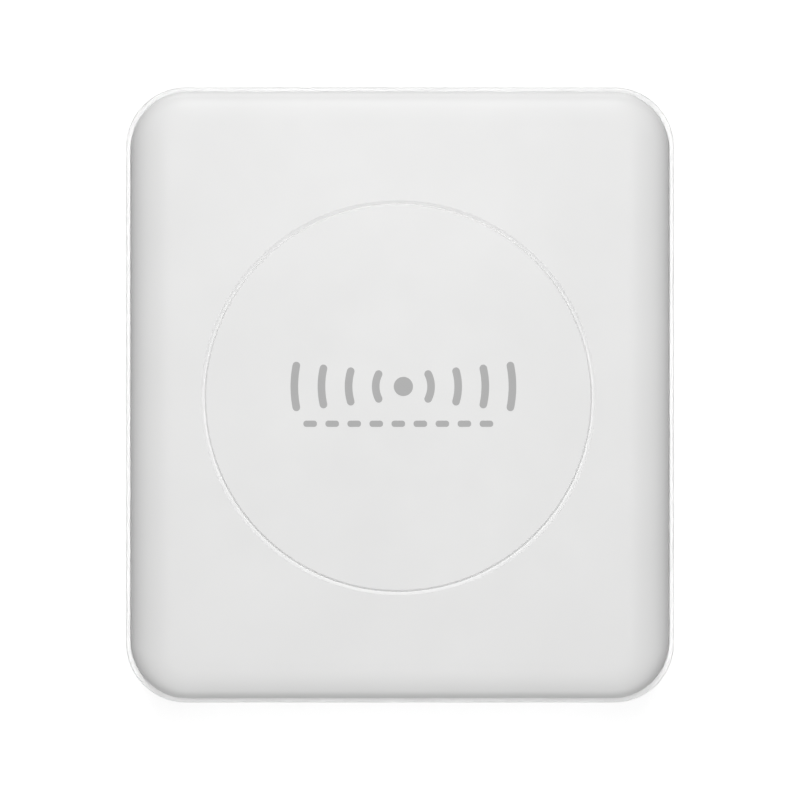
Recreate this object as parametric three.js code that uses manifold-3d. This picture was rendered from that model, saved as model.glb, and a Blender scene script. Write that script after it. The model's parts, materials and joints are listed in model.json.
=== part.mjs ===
// A mobile hotspot: a battery-powered pocket router with a soft-cornered square case.
// Millimetres, +Z up. The origin is the middle of the footprint on the table, +Y is the side
// with the sockets and +X the side with the buttons.
import * as THREE from "three";
import { mergeVertices } from "three/addons/utils/BufferGeometryUtils.js";
import Module from "manifold-3d";

const wasm = await Module();
wasm.setup();

// ---------------------------------------------------------------- driving dimensions

const WIDTH = 98;
const LENGTH = 110;
const HEIGHT = 22;
const CORNER = 10.7; // radius of the case's corners, seen from above
const GAP = 0.3; // between neighbouring pieces
const REST = 0.1; // between flat faces that rest on each other
const OVER = 1; // how far a cutter runs past what it cuts

const UNDERSIDE = 0.8; // the case's underside; the feet reach down to 0
const SEAM = 4.6; // where the bottom cover's wall ends
const RIM = 16.9; // top of the frame's rim
const LEDGE = 15.2; // shelf inside the rim, under the top cover's edge
const WALL = 1.8; // the frame's wall
const RIM_ROUND = 0.5; // roundover of the frame's outer edges

const COVER = {
  inset: 0.95, // from the case's side to the cover's side
  corner: 10.2,
  shoulder: 7.5, // width of the rounded border
  rise: 5, // height of the rounded border
  wall: 1.6,
  bottom: 15.4,
};
// The round groove: its centre, a steep inner side, a narrow floor and a long outer slope.
const GROOVE = { x: -0.3, y: -0.5, inner: 34.1, floor: [34.2, 34.6], outer: 35, depth: 0.25 };
const TRAY = {
  round: 4, // how far the underside's edge curves inwards
  roundHeight: 3.4,
  floor: 1.6,
  tongueInset: 2.1,
  tongue: 1,
  tongueTop: 5.9,
  bayTop: 12,
};
const FLOOR_TOP = UNDERSIDE + TRAY.floor;
const VENTS = { spacing: 6, count: 9, y: 34, width: 1.6, length: 16 };

// Snap tongues of the top cover, each at its place along a side of the case.
const SNAP = { half: 4, bottom: 14.1, top: 17, thick: 0.9, catchLow: 14.2, catchHigh: 14.65 };
const SNAPS = [
  ...[-32, 0, 32].flatMap((y) => [{ axis: "x", side: 1, at: y }, { axis: "x", side: -1, at: y }]),
  ...[-30, 30].flatMap((x) => [{ axis: "y", side: 1, at: x }, { axis: "y", side: -1, at: x }]),
];
const PEG = { radius: 1.3, bottom: 18.9 }; // pegs under the top cover that hold the heat spreader
const PEG_PLACES = [-30, 30].flatMap((x) => [[x, -38], [x, 32]]);

const corners = (x, y) => [[x, y], [-x, y], [-x, -y], [x, -y]];
const SCREW = { head: 1.95, seat: 3.2, headHeight: 1.2, shank: 0.9, top: 17.5, cross: 1.1 };
const SCREW_PLACES = corners(41.2, 24);
const POST = { radius: 3.2, boss: 2.8 }; // round the case screws, below and above the board
const FOOT = { width: 6, length: 18, sunk: 0.6, round: 0.4 };
const FOOT_PLACES = corners(41.2, 40);

// Battery bay: the space inside its walls, open towards the table.
const BAY = { x: 34.3, front: -45, back: 16, top: 11, wall: 1.8, flange: 2.4, flangeTop: 3.6 };
const DOOR = { x: 36.6, front: -47.2, back: 18.2, corner: 4, thick: 1.4, notch: 7, notchDepth: 1.1 };
const CLIP = { rows: [-34, -14, 6], inner: 34.6, outer: 35.3, half: 3, top: 4.4 };
const PACK = { x: 33.7, front: -44.4, back: 12.6, low: 2.8, high: 10.6, corner: 3, round: 0.9 };
const TERMINALS = { half: 8, low: 4.2, high: 9.2, thick: 0.6 };
const CONTACTS = { half: 8, front: 13.9, low: 4, bladeFront: 13, bladeXs: [-5.4, -1.8, 1.8, 5.4] };
const LABEL = 0.14; // thickness of a label

const BOARD = { x: 46, y: 52, corner: 8, bottom: 12.9, top: 13.9 };
const HANGING = BOARD.bottom - 0.2; // top of the parts soldered under the board
const STANDING = BOARD.top + REST; // foot of the parts soldered on top of it

const REAR_FACE = LENGTH / 2 - WALL - 0.2; // where the sockets' mouths stand, behind the rear wall
const LAN = { x: -12.5, halfWidth: 7.3, front: 39.6, bottom: 4.9, top: 15.1, mouthHalf: 5.95 };
const USB = { x: 4.2, z: 11.1, halfWidth: 4.47, halfHeight: 1.6, depth: 7.4, sheet: 0.3 };
const RESET = { x: 16, z: 10.6, pinhole: 0.6, switchBack: 51.4, plunger: 0.9 };

const SIM = { y: 36.5, z: 11.5, face: 13.4, faceHeight: 2.4, end: -31.6, bladeHalf: 5.6 };
const CARD = { left: -45.15, right: -32.85, half: 4.4, clip: 1.6, low: 11.42, thick: 0.62 };
const CAGE = { left: -45.6, right: -29.6, half: 6.4, low: 10.5, high: 12.65, sheet: 0.3 };

const BUTTON = { z: 10.6, height: 3.2, flange: 1.2, stemEnd: 44.2 };
const SWITCH = { left: 38.6, right: 42.9, bottom: 9.2, half: 3, cavity: 1.7 };
const POWER = { y: 9, length: 11.4 };
const PAIRING = { y: -8, length: 6 };
const LIGHTS = { xs: [-9, -3, 3, 9], z: 10.6, radius: 0.9 };

const MODEM = { left: -30, right: 22.5, front: 2, back: 32, bottom: 16.2, top: 17 };
const MODEM_SCREW = [MODEM.left + 1.6, (MODEM.front + MODEM.back) / 2];
const CAN = 0.3; // sheet of the shielding cans
const SPREADER = { low: 19.3, high: 20.1, x: 34, front: -42, back: 36, pan: 13, panBottom: 17, panY: -24 };

// Flexible aerials stuck to the inside of the frame: wall, side, middle and half-length.
const CELL_AERIALS = [
  { axis: "x", side: -1, at: -8, half: 17 },
  { axis: "y", side: -1, at: -25, half: 12.5 },
  { axis: "y", side: -1, at: 25, half: 12.5 },
  { axis: "y", side: 1, at: 28.5, half: 9 },
];
const WIFI_AERIALS = [[38, -44], [-36, 40]];

// Coaxial leads: each runs from its plug on the modem card to its cell aerial. After the plug's
// Y, a route is a list of points along the lead's middle.
const LEAD = { radius: 0.56, plugX: -27.6, plugRadius: 1.25, plugHeight: 1.1, startZ: 17.85 };
const OVER_CARD = 17.6;
const ALONG_BOARD = 14.9;
const LEAD_ROUTES = [
  [23, [-31.6, 22, OVER_CARD], [-37, 16, 15], [-42, 6, ALONG_BOARD], [-44.9, 0.6, 14], [-45.2, 0, 12],
    [-46.1, 0, 9]],
  [11, [-31.8, 9, OVER_CARD], [-34.5, 0, 15.2], [-34.5, -34, ALONG_BOARD], [-29.4, -47, ALONG_BOARD],
    [-28, -50.6, 14], [-28, -51.2, 12], [-28, -52.1, 9]],
  [5, [-31.4, 2, OVER_CARD], [-29, -4, 15.2], [-18, -5, ALONG_BOARD], [18, -5, ALONG_BOARD],
    [25.5, -14, ALONG_BOARD], [25.5, -36, ALONG_BOARD], [27.6, -47, ALONG_BOARD], [28, -50.6, 14],
    [28, -51.2, 12], [28, -52.1, 9]],
  [29, [-31.4, 31.6, OVER_CARD], [-28, 36, 15.2], [-14, 37, ALONG_BOARD], [12, 37, ALONG_BOARD],
    [24, 40, ALONG_BOARD], [28.6, 47, ALONG_BOARD], [29, 50.6, 14], [29, 51.2, 12], [29, 52.1, 9]],
];
// Where the leads pass down beside the board, as X and Y ranges.
const LEAD_NOTCHES = [
  [[-47, -43.6], [-1.6, 1.6]],
  [[-29.6, -26.4], [-53, -48.8]],
  [[26.4, 29.6], [-53, -48.8]],
  [[27.4, 30.6], [48.8, 53]],
];

// ---------------------------------------------------------------- materials

const finish = (color, roughness, metalness = 0) =>
  new THREE.MeshStandardMaterial({ color, roughness, metalness });

const MATERIALS = {
  cover: finish(0xe9e9e8, 0.42),
  frame: finish(0xf6f6f5, 0.2),
  base: finish(0xebebea, 0.5),
  button: finish(0xf2f2f1, 0.25),
  rubber: finish(0x9a9c9e, 0.85),
  steel: finish(0xb9bcc0, 0.35, 0.9),
  aluminium: finish(0xd0d3d6, 0.4, 0.9),
  gold: finish(0xd2a950, 0.3, 1),
  board: finish(0x1d5a3a, 0.5),
  black: finish(0x1c1c1e, 0.55),
  chip: finish(0x2a2a2d, 0.4),
  pad: finish(0x8fa3ad, 0.9),
  clear: finish(0xf4f7fa, 0.08),
  lamp: finish(0xfdf3c0, 0.3),
  flex: finish(0x2f3133, 0.6),
  lead: finish(0x222224, 0.6),
  pack: finish(0x3a3d42, 0.5),
  label: finish(0xf7f7f4, 0.7),
  card: finish(0xf0f0ee, 0.45),
};

// ---------------------------------------------------------------- shapes and solids

// A closed geometry as a solid that can be joined and cut.
function solid(geometry) {
  const bare = geometry.index ? geometry.toNonIndexed() : geometry.clone();
  bare.deleteAttribute("normal");
  bare.deleteAttribute("uv");
  const merged = mergeVertices(bare);
  return new wasm.Manifold(
    new wasm.Mesh({
      numProp: 3,
      vertProperties: merged.attributes.position.array,
      triVerts: new Uint32Array(merged.index.array),
    }),
  );
}

// A solid as a geometry that three.js can draw.
function drawable(made) {
  const mesh = made.getMesh();
  const geometry = new THREE.BufferGeometry();
  geometry.setAttribute("position", new THREE.BufferAttribute(mesh.vertProperties, 3));
  geometry.setIndex(new THREE.BufferAttribute(mesh.triVerts, 1));
  geometry.computeVertexNormals();
  return geometry;
}

const joined = (...solids) => solids.reduce((all, next) => all.add(next));
const cut = (body, ...cutters) => cutters.reduce((left, next) => left.subtract(next), body);

// A rectangle with round corners, centred on the origin.
function roundedRectangle(width, length, radius) {
  const x = width / 2 - radius;
  const y = length / 2 - radius;
  const shape = new THREE.Shape();
  shape.absarc(x, y, radius, 0, Math.PI / 2);
  shape.absarc(-x, y, radius, Math.PI / 2, Math.PI);
  shape.absarc(-x, -y, radius, Math.PI, 1.5 * Math.PI);
  shape.absarc(x, -y, radius, 1.5 * Math.PI, 2 * Math.PI);
  shape.closePath();
  return shape;
}

// A box from its low and high X, Y and Z.
function box([x0, x1], [y0, y1], [z0, z1]) {
  const geometry = new THREE.BoxGeometry(x1 - x0, y1 - y0, z1 - z0);
  return solid(geometry.translate((x0 + x1) / 2, (y0 + y1) / 2, (z0 + z1) / 2));
}

const around = (middle, half) => [middle - half, middle + half];

// An upright block with round corners, seen from above, and optionally round top and bottom
// edges: round is how far an edge curves inwards and roundHeight how high the curve is.
function block(width, length, radius, [low, high], options = {}) {
  const { x = 0, y = 0, round = 0, roundHeight = round, steps = 3, arcs = 6 } = options;
  const shape = roundedRectangle(width - 2 * round, length - 2 * round, radius - round);
  const geometry = new THREE.ExtrudeGeometry(shape, {
    depth: high - low - 2 * roundHeight,
    bevelEnabled: round > 0,
    bevelSize: round,
    bevelThickness: roundHeight,
    bevelSegments: steps,
    curveSegments: arcs,
  });
  return solid(geometry.translate(x, y, low + roundHeight));
}

const TURNS = {
  x: [[0, 1, 0], [0, 0, 1], [1, 0, 0]],
  y: [[-1, 0, 0], [0, 0, 1], [0, 1, 0]],
};

// A geometry made along Z, turned so that it runs along X or Y, with its Y side upright.
function along(axis, geometry) {
  if (axis === "z") return geometry;
  const columns = TURNS[axis].map((column) => new THREE.Vector3(...column));
  return geometry.applyMatrix4(new THREE.Matrix4().makeBasis(...columns));
}

// A cylinder along an axis, from one end to the other, at [x, y, z] where the axis's own is 0.
function rod(axis, radius, [from, to], [x, y, z], sides = 12) {
  const geometry = new THREE.CylinderGeometry(radius, radius, to - from, sides);
  geometry.rotateX(Math.PI / 2).translate(0, 0, (from + to) / 2);
  return solid(along(axis, geometry).translate(x, y, z));
}

// A bar with half-round ends, lying across a wall: it runs along X or Y from one depth to the other.
function pill(axis, length, height, [from, to], [x, y, z]) {
  const geometry = new THREE.ExtrudeGeometry(roundedRectangle(length, height, height / 2 - 0.001), {
    depth: to - from,
    bevelEnabled: false,
    curveSegments: 4,
  });
  return solid(along(axis, geometry.translate(0, 0, from)).translate(x, y, z));
}

// A ring turned from a closed profile of [radius, height] points.
function ring(profile, segments) {
  const points = [...profile, profile[0]].map(([r, z]) => new THREE.Vector2(r, z));
  return solid(new THREE.LatheGeometry(points, segments).rotateX(Math.PI / 2));
}

// ---------------------------------------------------------------- the three case mouldings

// The pillow shape of the top cover, its sides going straight down to the given height.
function pillow(inset, top, bottom) {
  const shell = block(
    WIDTH - 2 * inset,
    LENGTH - 2 * inset,
    COVER.corner - inset + COVER.inset,
    [bottom - 2 * COVER.rise, top],
    { round: COVER.shoulder, roundHeight: COVER.rise, steps: 6 },
  );
  return cut(shell, box([-WIDTH, WIDTH], [-LENGTH, LENGTH], [bottom - 3 * COVER.rise, bottom]));
}

// A box by how far it lies in from the case's side wall, along a stretch of that wall.
function besideWall({ axis, side, at }, half, [inner, outer], heights) {
  const reach = axis === "x" ? WIDTH / 2 : LENGTH / 2;
  const across = side > 0 ? [reach - inner, reach - outer] : [-reach + outer, -reach + inner];
  return axis === "x" ? box(across, around(at, half), heights) : box(around(at, half), across, heights);
}

function snapTongue(snap) {
  const outer = WALL + GAP;
  const inner = outer + SNAP.thick;
  const tongue = besideWall(snap, SNAP.half, [inner, outer], [SNAP.bottom, SNAP.top]);
  const catchBar = besideWall(snap, SNAP.half - 1, [inner, WALL - 0.5], [SNAP.catchLow, SNAP.catchHigh]);
  return joined(tongue, catchBar);
}

// The slot in the frame's wall that a tongue's catch bar clicks into.
function snapSlot(snap) {
  const heights = [SNAP.catchLow - 0.2, SNAP.catchHigh + 0.2];
  return besideWall(snap, SNAP.half, [WALL + OVER, WALL - 0.8], heights);
}

function topCover() {
  const outside = pillow(COVER.inset, HEIGHT, COVER.bottom);
  const ceiling = HEIGHT - COVER.wall;
  const inside = pillow(COVER.inset + COVER.wall, ceiling, COVER.bottom - OVER);
  const { x, y, inner, floor, outer, depth } = GROOVE;
  const groove = ring(
    [
      [floor[0], HEIGHT - depth],
      [floor[1], HEIGHT - depth],
      [outer, HEIGHT],
      [outer, HEIGHT + OVER],
      [inner, HEIGHT + OVER],
      [inner, HEIGHT],
    ],
    72,
  ).translate(x, y, 0);
  const bosses = SCREW_PLACES.map(([x, y]) =>
    rod("z", POST.boss, [BOARD.top + 0.2, ceiling + 0.1], [x, y, 0]),
  );
  const holes = SCREW_PLACES.map(([x, y]) =>
    rod("z", SCREW.shank + 0.15, [BOARD.top - OVER, SCREW.top + 0.5], [x, y, 0]),
  );
  const pegs = PEG_PLACES.map(([x, y]) => rod("z", PEG.radius, [PEG.bottom, ceiling + 0.5], [x, y, 0]));
  const body = joined(cut(outside, inside, groove), ...bosses, ...pegs, ...SNAPS.map(snapTongue));
  return cut(body, ...holes);
}

function midFrame() {
  const bottom = SEAM + GAP;
  const band = block(WIDTH, LENGTH, CORNER, [bottom, RIM], { round: RIM_ROUND, steps: 2 });
  const inside = block(WIDTH - 2 * WALL, LENGTH - 2 * WALL, CORNER - WALL, [bottom - OVER, RIM + OVER]);
  const recess = COVER.inset - 0.15;
  const seat = block(WIDTH - 2 * recess, LENGTH - 2 * recess, COVER.corner + 0.15, [LEDGE, RIM + OVER]);
  const rear = [LENGTH / 2 - WALL - OVER, LENGTH / 2 + OVER];
  const front = [-rear[1], -rear[0]];
  const right = [WIDTH / 2 - WALL - OVER, WIDTH / 2 + OVER];
  const left = [-right[1], -right[0]];
  const buttonHole = ({ y, length }) =>
    pill("x", length + 2 * GAP, BUTTON.height + 2 * GAP, right, [0, y, BUTTON.z]);
  const openings = [
    box(around(LAN.x, LAN.mouthHalf + 0.45), rear, [5.5, 14.7]),
    pill("y", 2 * USB.halfWidth + 0.9, 2 * USB.halfHeight + 0.8, rear, [USB.x, 0, USB.z]),
    rod("y", RESET.pinhole, rear, [RESET.x, 0, RESET.z]),
    buttonHole(POWER),
    buttonHole(PAIRING),
    pill("x", SIM.face + 2 * GAP, SIM.faceHeight + 2 * GAP, left, [0, SIM.y, SIM.z]),
    ...LIGHTS.xs.map((x) => rod("y", LIGHTS.radius + 0.15, front, [x, 0, LIGHTS.z])),
    ...SNAPS.map(snapSlot),
  ];
  return cut(band, inside, seat, ...openings);
}

// The post that a case screw goes up through, from the bottom cover's floor to the board.
const post = ([x, y]) => rod("z", POST.radius, [FLOOR_TOP - 0.2, BOARD.bottom - REST], [x, y, 0]);

function screwHole([x, y]) {
  const head = rod("z", SCREW.head + GAP, [UNDERSIDE - OVER, SCREW.seat], [x, y, 0]);
  return joined(head, rod("z", SCREW.shank + GAP, [0, BOARD.top], [x, y, 0]));
}

// The tray itself: a rounded wall, a floor and a thinner tongue that reaches up into the frame.
function trayShell() {
  const rounded = block(WIDTH, LENGTH, CORNER, [UNDERSIDE, SEAM + 2 * TRAY.roundHeight], {
    round: TRAY.round,
    roundHeight: TRAY.roundHeight,
    steps: 4,
  });
  const wall = cut(rounded, box([-WIDTH, WIDTH], [-LENGTH, LENGTH], [SEAM, HEIGHT]));
  const outer = TRAY.tongueInset;
  const tongue = block(
    WIDTH - 2 * outer,
    LENGTH - 2 * outer,
    CORNER - outer,
    [SEAM - 0.6, TRAY.tongueTop],
  );
  const inner = TRAY.tongueInset + TRAY.tongue;
  const hollow = block(WIDTH - 2 * inner, LENGTH - 2 * inner, CORNER - inner, [FLOOR_TOP, HEIGHT], {
    round: 1.2,
    steps: 1,
  });
  return cut(joined(wall, tongue), hollow);
}

// A pocket for each door clip, on both sides of the bay.
function clipPockets() {
  const heights = [FLOOR_TOP - OVER, CLIP.top + 0.5];
  return CLIP.rows.flatMap((y) => [
    box([BAY.x - 0.1, CLIP.outer + GAP], around(y, CLIP.half + 0.5), heights),
    box([-CLIP.outer - GAP, -BAY.x + 0.1], around(y, CLIP.half + 0.5), heights),
  ]);
}

function bottomCover() {
  const bayX = BAY.x + BAY.wall;
  const bayY = [BAY.front - BAY.wall, BAY.back + BAY.wall];
  const bayWalls = box([-bayX, bayX], bayY, [FLOOR_TOP - 0.2, TRAY.bayTop]);
  const flangeX = bayX + BAY.flange;
  const flangeY = [bayY[0] - 2.2, bayY[1] + 2.2];
  const flange = box([-flangeX, flangeX], flangeY, [FLOOR_TOP - 0.2, BAY.flangeTop]);
  const space = box([-BAY.x, BAY.x], [BAY.front, BAY.back], [FLOOR_TOP - OVER, BAY.top]);
  const contactSlot = box(
    around(0, CONTACTS.half + GAP),
    [CONTACTS.front - GAP, BAY.back],
    [BAY.top - OVER, TRAY.bayTop + OVER],
  );
  const doorway = block(
    2 * (DOOR.x + GAP),
    DOOR.back - DOOR.front + 2 * GAP,
    DOOR.corner + GAP,
    [UNDERSIDE - OVER, FLOOR_TOP],
    { y: (DOOR.front + DOOR.back) / 2, arcs: 5 },
  );
  const notch = rod("z", DOOR.notch, [UNDERSIDE - OVER, UNDERSIDE + DOOR.notchDepth], [0, DOOR.front, 0], 24);
  const vents = Array.from({ length: VENTS.count }, (_, i) =>
    block(VENTS.width, VENTS.length, VENTS.width / 2 - 0.001, [0, FLOOR_TOP + OVER], {
      x: (i - (VENTS.count - 1) / 2) * VENTS.spacing,
      y: VENTS.y,
      arcs: 2,
    }),
  );
  const footSeats = FOOT_PLACES.map(([x, y]) =>
    block(FOOT.width + 0.4, FOOT.length + 0.4, FOOT.width / 2 + 0.19, [0, UNDERSIDE + FOOT.sunk], {
      x,
      y,
      arcs: 4,
    }),
  );
  const jackRelief = box(around(LAN.x, LAN.halfWidth + GAP), [40, LENGTH / 2 - WALL - REST], [SEAM, 7]);
  return cut(
    joined(trayShell(), bayWalls, flange, ...SCREW_PLACES.map(post)),
    space,
    contactSlot,
    doorway,
    notch,
    jackRelief,
    ...clipPockets(),
    ...vents,
    ...footSeats,
    ...SCREW_PLACES.map(screwHole),
  );
}

const foot = ([x, y]) =>
  block(FOOT.width, FOOT.length, FOOT.width / 2 - 0.001, [0, UNDERSIDE + FOOT.sunk - REST], {
    x,
    y,
    round: FOOT.round,
    steps: 1,
    arcs: 4,
  });

// A pan-head case screw with a cross recess, its head up in the bottom cover.
function caseScrew([x, y]) {
  const seat = SCREW.seat - REST;
  const low = seat - SCREW.headHeight;
  const head = rod("z", SCREW.head, [low, seat], [x, y, 0]);
  const shank = rod("z", SCREW.shank, [seat - 0.1, SCREW.top], [x, y, 0]);
  const recess = [[SCREW.cross, 0.25], [0.25, SCREW.cross]].map(([halfX, halfY]) =>
    box(around(x, halfX), around(y, halfY), [low - OVER, low + 0.6]),
  );
  return cut(joined(head, shank), ...recess);
}

// ---------------------------------------------------------------- buttons and their switches

// The button's cap fills its opening; a flange keeps it inside and a stem reaches the switch.
function sideButton({ y, length }) {
  const wallIn = WIDTH / 2 - WALL;
  const cap = pill("x", length, BUTTON.height, [wallIn - 0.6, WIDTH / 2], [0, y, BUTTON.z]);
  const flangeHalf = length / 2 + BUTTON.flange;
  const flange = box([wallIn - 1.1, wallIn - 0.3], around(y, flangeHalf), around(BUTTON.z, 2));
  const stem = box([BUTTON.stemEnd, wallIn - 0.8], around(y, 1.5), around(BUTTON.z, 1));
  return joined(cap, flange, stem);
}

// The switch's plunger starts at the stem and reaches into the switch's cavity.
const sidePlunger = ({ y }) =>
  box([SWITCH.right - 0.8, BUTTON.stemEnd - GAP], around(y, 1.3), around(BUTTON.z, 0.8));

function sideSwitch({ y }) {
  const body = box([SWITCH.left, SWITCH.right], around(y, SWITCH.half), [SWITCH.bottom, HANGING]);
  const depth = [SWITCH.right - SWITCH.cavity, SWITCH.right + OVER];
  return cut(body, box(depth, around(y, 1.5), around(BUTTON.z, 1)));
}

const resetPlunger = () =>
  rod("y", RESET.plunger, [RESET.switchBack - 1, RESET.switchBack + 0.9], [RESET.x, 0, RESET.z]);

function resetSwitch() {
  const back = RESET.switchBack;
  const body = box(around(RESET.x, SWITCH.half), [back - 3.4, back], [SWITCH.bottom, HANGING]);
  return cut(body, rod("y", RESET.plunger + 0.2, [back - 1.6, back + OVER], [RESET.x, 0, RESET.z]));
}

// ---------------------------------------------------------------- SIM tray and socket

// The tray's face fills its opening in the left wall; its blade has a pocket for the card.
function simTray() {
  const wallIn = -(WIDTH / 2 - WALL);
  const face = pill("x", SIM.face, SIM.faceHeight, [-WIDTH / 2, wallIn + 0.2], [0, SIM.y, SIM.z]);
  const blade = box([wallIn, SIM.end], around(SIM.y, SIM.bladeHalf), [10.95, 12.1]);
  const pocket = box([CARD.left - 0.15, CARD.right + 0.15], around(SIM.y, CARD.half + 0.15), [11.35, 13]);
  const window = box([CARD.left + 1.2, CARD.right - 1.2], around(SIM.y, CARD.half - 0.8), [10, 13]);
  return cut(joined(face, blade), pocket, window);
}

// A nano-SIM card with its clipped corner.
function simCard() {
  const { left, right, half, clip, low, thick } = CARD;
  const card = new THREE.Shape();
  card.moveTo(left, -half);
  card.lineTo(right - clip, -half);
  card.lineTo(right, -half + clip);
  card.lineTo(right, half);
  card.lineTo(left, half);
  card.closePath();
  const geometry = new THREE.ExtrudeGeometry(card, { depth: thick, bevelEnabled: false });
  return solid(geometry.translate(0, SIM.y, low));
}

function simSocket() {
  const { left, right, half, low, high, sheet } = CAGE;
  const outside = box([left, right], around(SIM.y, half), [low, high]);
  const slot = box([left - OVER, right - 0.5], around(SIM.y, half - sheet), [low + 0.2, high - sheet]);
  return cut(outside, slot);
}

// ---------------------------------------------------------------- sockets in the rear wall

function networkJack() {
  const body = box(around(LAN.x, LAN.halfWidth), [LAN.front, REAR_FACE], [LAN.bottom, LAN.top]);
  const mouth = [LAN.front + 1.2, REAR_FACE + OVER];
  return cut(
    body,
    box(around(LAN.x, LAN.mouthHalf), mouth, [7.6, 14.4]),
    box(around(LAN.x, 3.1), mouth, [6.4, 8]),
    box(around(LAN.x, 1.8), mouth, [5.4, 7]),
  );
}

// Eight slanting contact wires on one comb, under the roof of the network jack.
function networkJackContacts() {
  const comb = box(around(LAN.x, 4.6), [LAN.front + 1.4, LAN.front + 3], [13.2, 14.2]);
  const wires = Array.from({ length: 8 }, (_, i) => {
    const wire = new THREE.BoxGeometry(0.4, 9, 0.3);
    wire.rotateX(-0.14).translate(LAN.x + (i - 3.5) * 1.02, LAN.front + 7, 13.35);
    return solid(wire);
  });
  return joined(comb, ...wires);
}

const networkTransformer = () =>
  block(15, 9, 0.6, [SWITCH.bottom, HANGING], { x: LAN.x, y: 31.6, round: 0.3, steps: 1, arcs: 3 });

function usbShell() {
  const back = REAR_FACE - USB.depth;
  const at = [USB.x, 0, USB.z];
  const outside = pill("y", 2 * USB.halfWidth, 2 * USB.halfHeight, [back, REAR_FACE], at);
  const width = 2 * (USB.halfWidth - USB.sheet);
  const height = 2 * (USB.halfHeight - USB.sheet);
  return cut(outside, pill("y", width, height, [back + 0.8, REAR_FACE + OVER], at));
}

const usbTongue = () =>
  box(around(USB.x, 3.35), [REAR_FACE - USB.depth + 1, REAR_FACE - 0.9], around(USB.z, 0.35));

// ---------------------------------------------------------------- board and what stands on it

function mainBoard() {
  const board = block(2 * BOARD.x, 2 * BOARD.y, BOARD.corner, [BOARD.bottom, BOARD.top], { arcs: 5 });
  const through = [BOARD.bottom - OVER, BOARD.top + OVER];
  return cut(
    board,
    box(around(LAN.x, LAN.halfWidth + GAP), [LAN.front - GAP, BOARD.y + OVER], through),
    ...LEAD_NOTCHES.map(([xs, ys]) => box(xs, ys, through)),
    ...SCREW_PLACES.map(([x, y]) => rod("z", SCREW.shank + GAP, through, [x, y, 0])),
  );
}

function modemCard() {
  const card = box([MODEM.left, MODEM.right], [MODEM.front, MODEM.back], [MODEM.bottom, MODEM.top]);
  return cut(card, rod("z", 1.3, [MODEM.bottom - OVER, MODEM.top + OVER], [...MODEM_SCREW, 0]));
}

// A pressed sheet-metal can, open towards the board.
function shieldCan([x0, x1], [y0, y1], [low, high]) {
  const at = { x: (x0 + x1) / 2, y: (y0 + y1) / 2, arcs: 3 };
  const outside = block(x1 - x0, y1 - y0, 0.8, [low, high], at);
  const inside = block(x1 - x0 - 2 * CAN, y1 - y0 - 2 * CAN, 0.5, [low - OVER, high - CAN], at);
  return cut(outside, inside);
}

function modemSocket() {
  const body = box([20.6, 28.6], [6, 28], [STANDING, 17.9]);
  return cut(body, box([19, 23], [5, 29], [MODEM.bottom - 0.2, MODEM.top + 0.2]));
}

const modemStandoff = () => rod("z", 2.2, [STANDING, MODEM.bottom - REST], [...MODEM_SCREW, 0], 6);

function modemScrew() {
  const head = rod("z", 1.9, [MODEM.top + REST, MODEM.top + 0.8], [...MODEM_SCREW, 0]);
  return joined(head, rod("z", 0.9, [MODEM.bottom + REST, MODEM.top + 0.2], [...MODEM_SCREW, 0]));
}

// The aluminium plate under the top cover, pressed down into a pan over the processor.
function heatSpreader() {
  const { low, high, x, front, back, pan, panBottom, panY } = SPREADER;
  const sheet = high - low;
  const plate = block(2 * x, back - front, 3, [low, high], { y: (front + back) / 2, arcs: 4 });
  const outside = block(2 * pan, 2 * pan, 2, [panBottom, low + 0.2], { y: panY, arcs: 3 });
  const inner = 2 * (pan - sheet);
  const inside = block(inner, inner, 2 - sheet, [panBottom + sheet, high + OVER], { y: panY, arcs: 3 });
  const holes = PEG_PLACES.map(([px, py]) =>
    rod("z", PEG.radius + GAP, [low - OVER, high + OVER], [px, py, 0]),
  );
  return cut(joined(plate, outside), inside, ...holes);
}

// An inverted-F aerial folded from sheet, standing on the board on two legs.
function wifiAerial([x, y]) {
  const strip = box(around(x, 6), around(y, 0.25), [16.6, 18.2]);
  const legs = [-5.5, -2.5].map((dx) => box(around(x + dx, 0.5), around(y, 0.25), [STANDING, 17]));
  return joined(strip, ...legs);
}

const cellAerial = (aerial) => besideWall(aerial, aerial.half, [WALL + 0.45, WALL + 0.15], [6.4, 12.4]);

function aerialLead([plugY, ...route]) {
  const points = [[LEAD.plugX, plugY, LEAD.startZ], ...route].map((p) => new THREE.Vector3(...p));
  const extrudePath = new THREE.CatmullRomCurve3(points, false, "centripetal");
  const section = new THREE.Shape().absarc(0, 0, LEAD.radius, 0, 2 * Math.PI);
  const steps = 3 * route.length;
  const tube = new THREE.ExtrudeGeometry(section, { steps, extrudePath, curveSegments: 3 });
  const plug = [MODEM.top + REST, MODEM.top + REST + LEAD.plugHeight];
  return joined(solid(tube), rod("z", LEAD.plugRadius, plug, [LEAD.plugX, plugY, 0]));
}

// ---------------------------------------------------------------- status lights

function lightGuide() {
  const front = -LENGTH / 2;
  const bar = box([-11, 11], [front + WALL + GAP, front + WALL + 1.5], around(LIGHTS.z + 0.3, 1.5));
  const pipes = LIGHTS.xs.map((x) => rod("y", LIGHTS.radius, [front, front + WALL + 0.6], [x, 0, LIGHTS.z]));
  return joined(bar, ...pipes);
}

const statusLight = (x) => box(around(x, 1.4), around(-50.4, 0.8), [HANGING - 1.6, HANGING]);

// ---------------------------------------------------------------- battery, its contacts and door

function batteryPack() {
  const body = block(2 * PACK.x, PACK.back - PACK.front, PACK.corner, [PACK.low, PACK.high], {
    y: (PACK.front + PACK.back) / 2,
    round: PACK.round,
    arcs: 5,
  });
  const { half, low, high, thick } = TERMINALS;
  const recess = box(
    around(0, half + 0.2),
    [PACK.back - thick - 0.2, PACK.back + OVER],
    [low - 0.2, high + 0.2],
  );
  return cut(body, recess);
}

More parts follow.
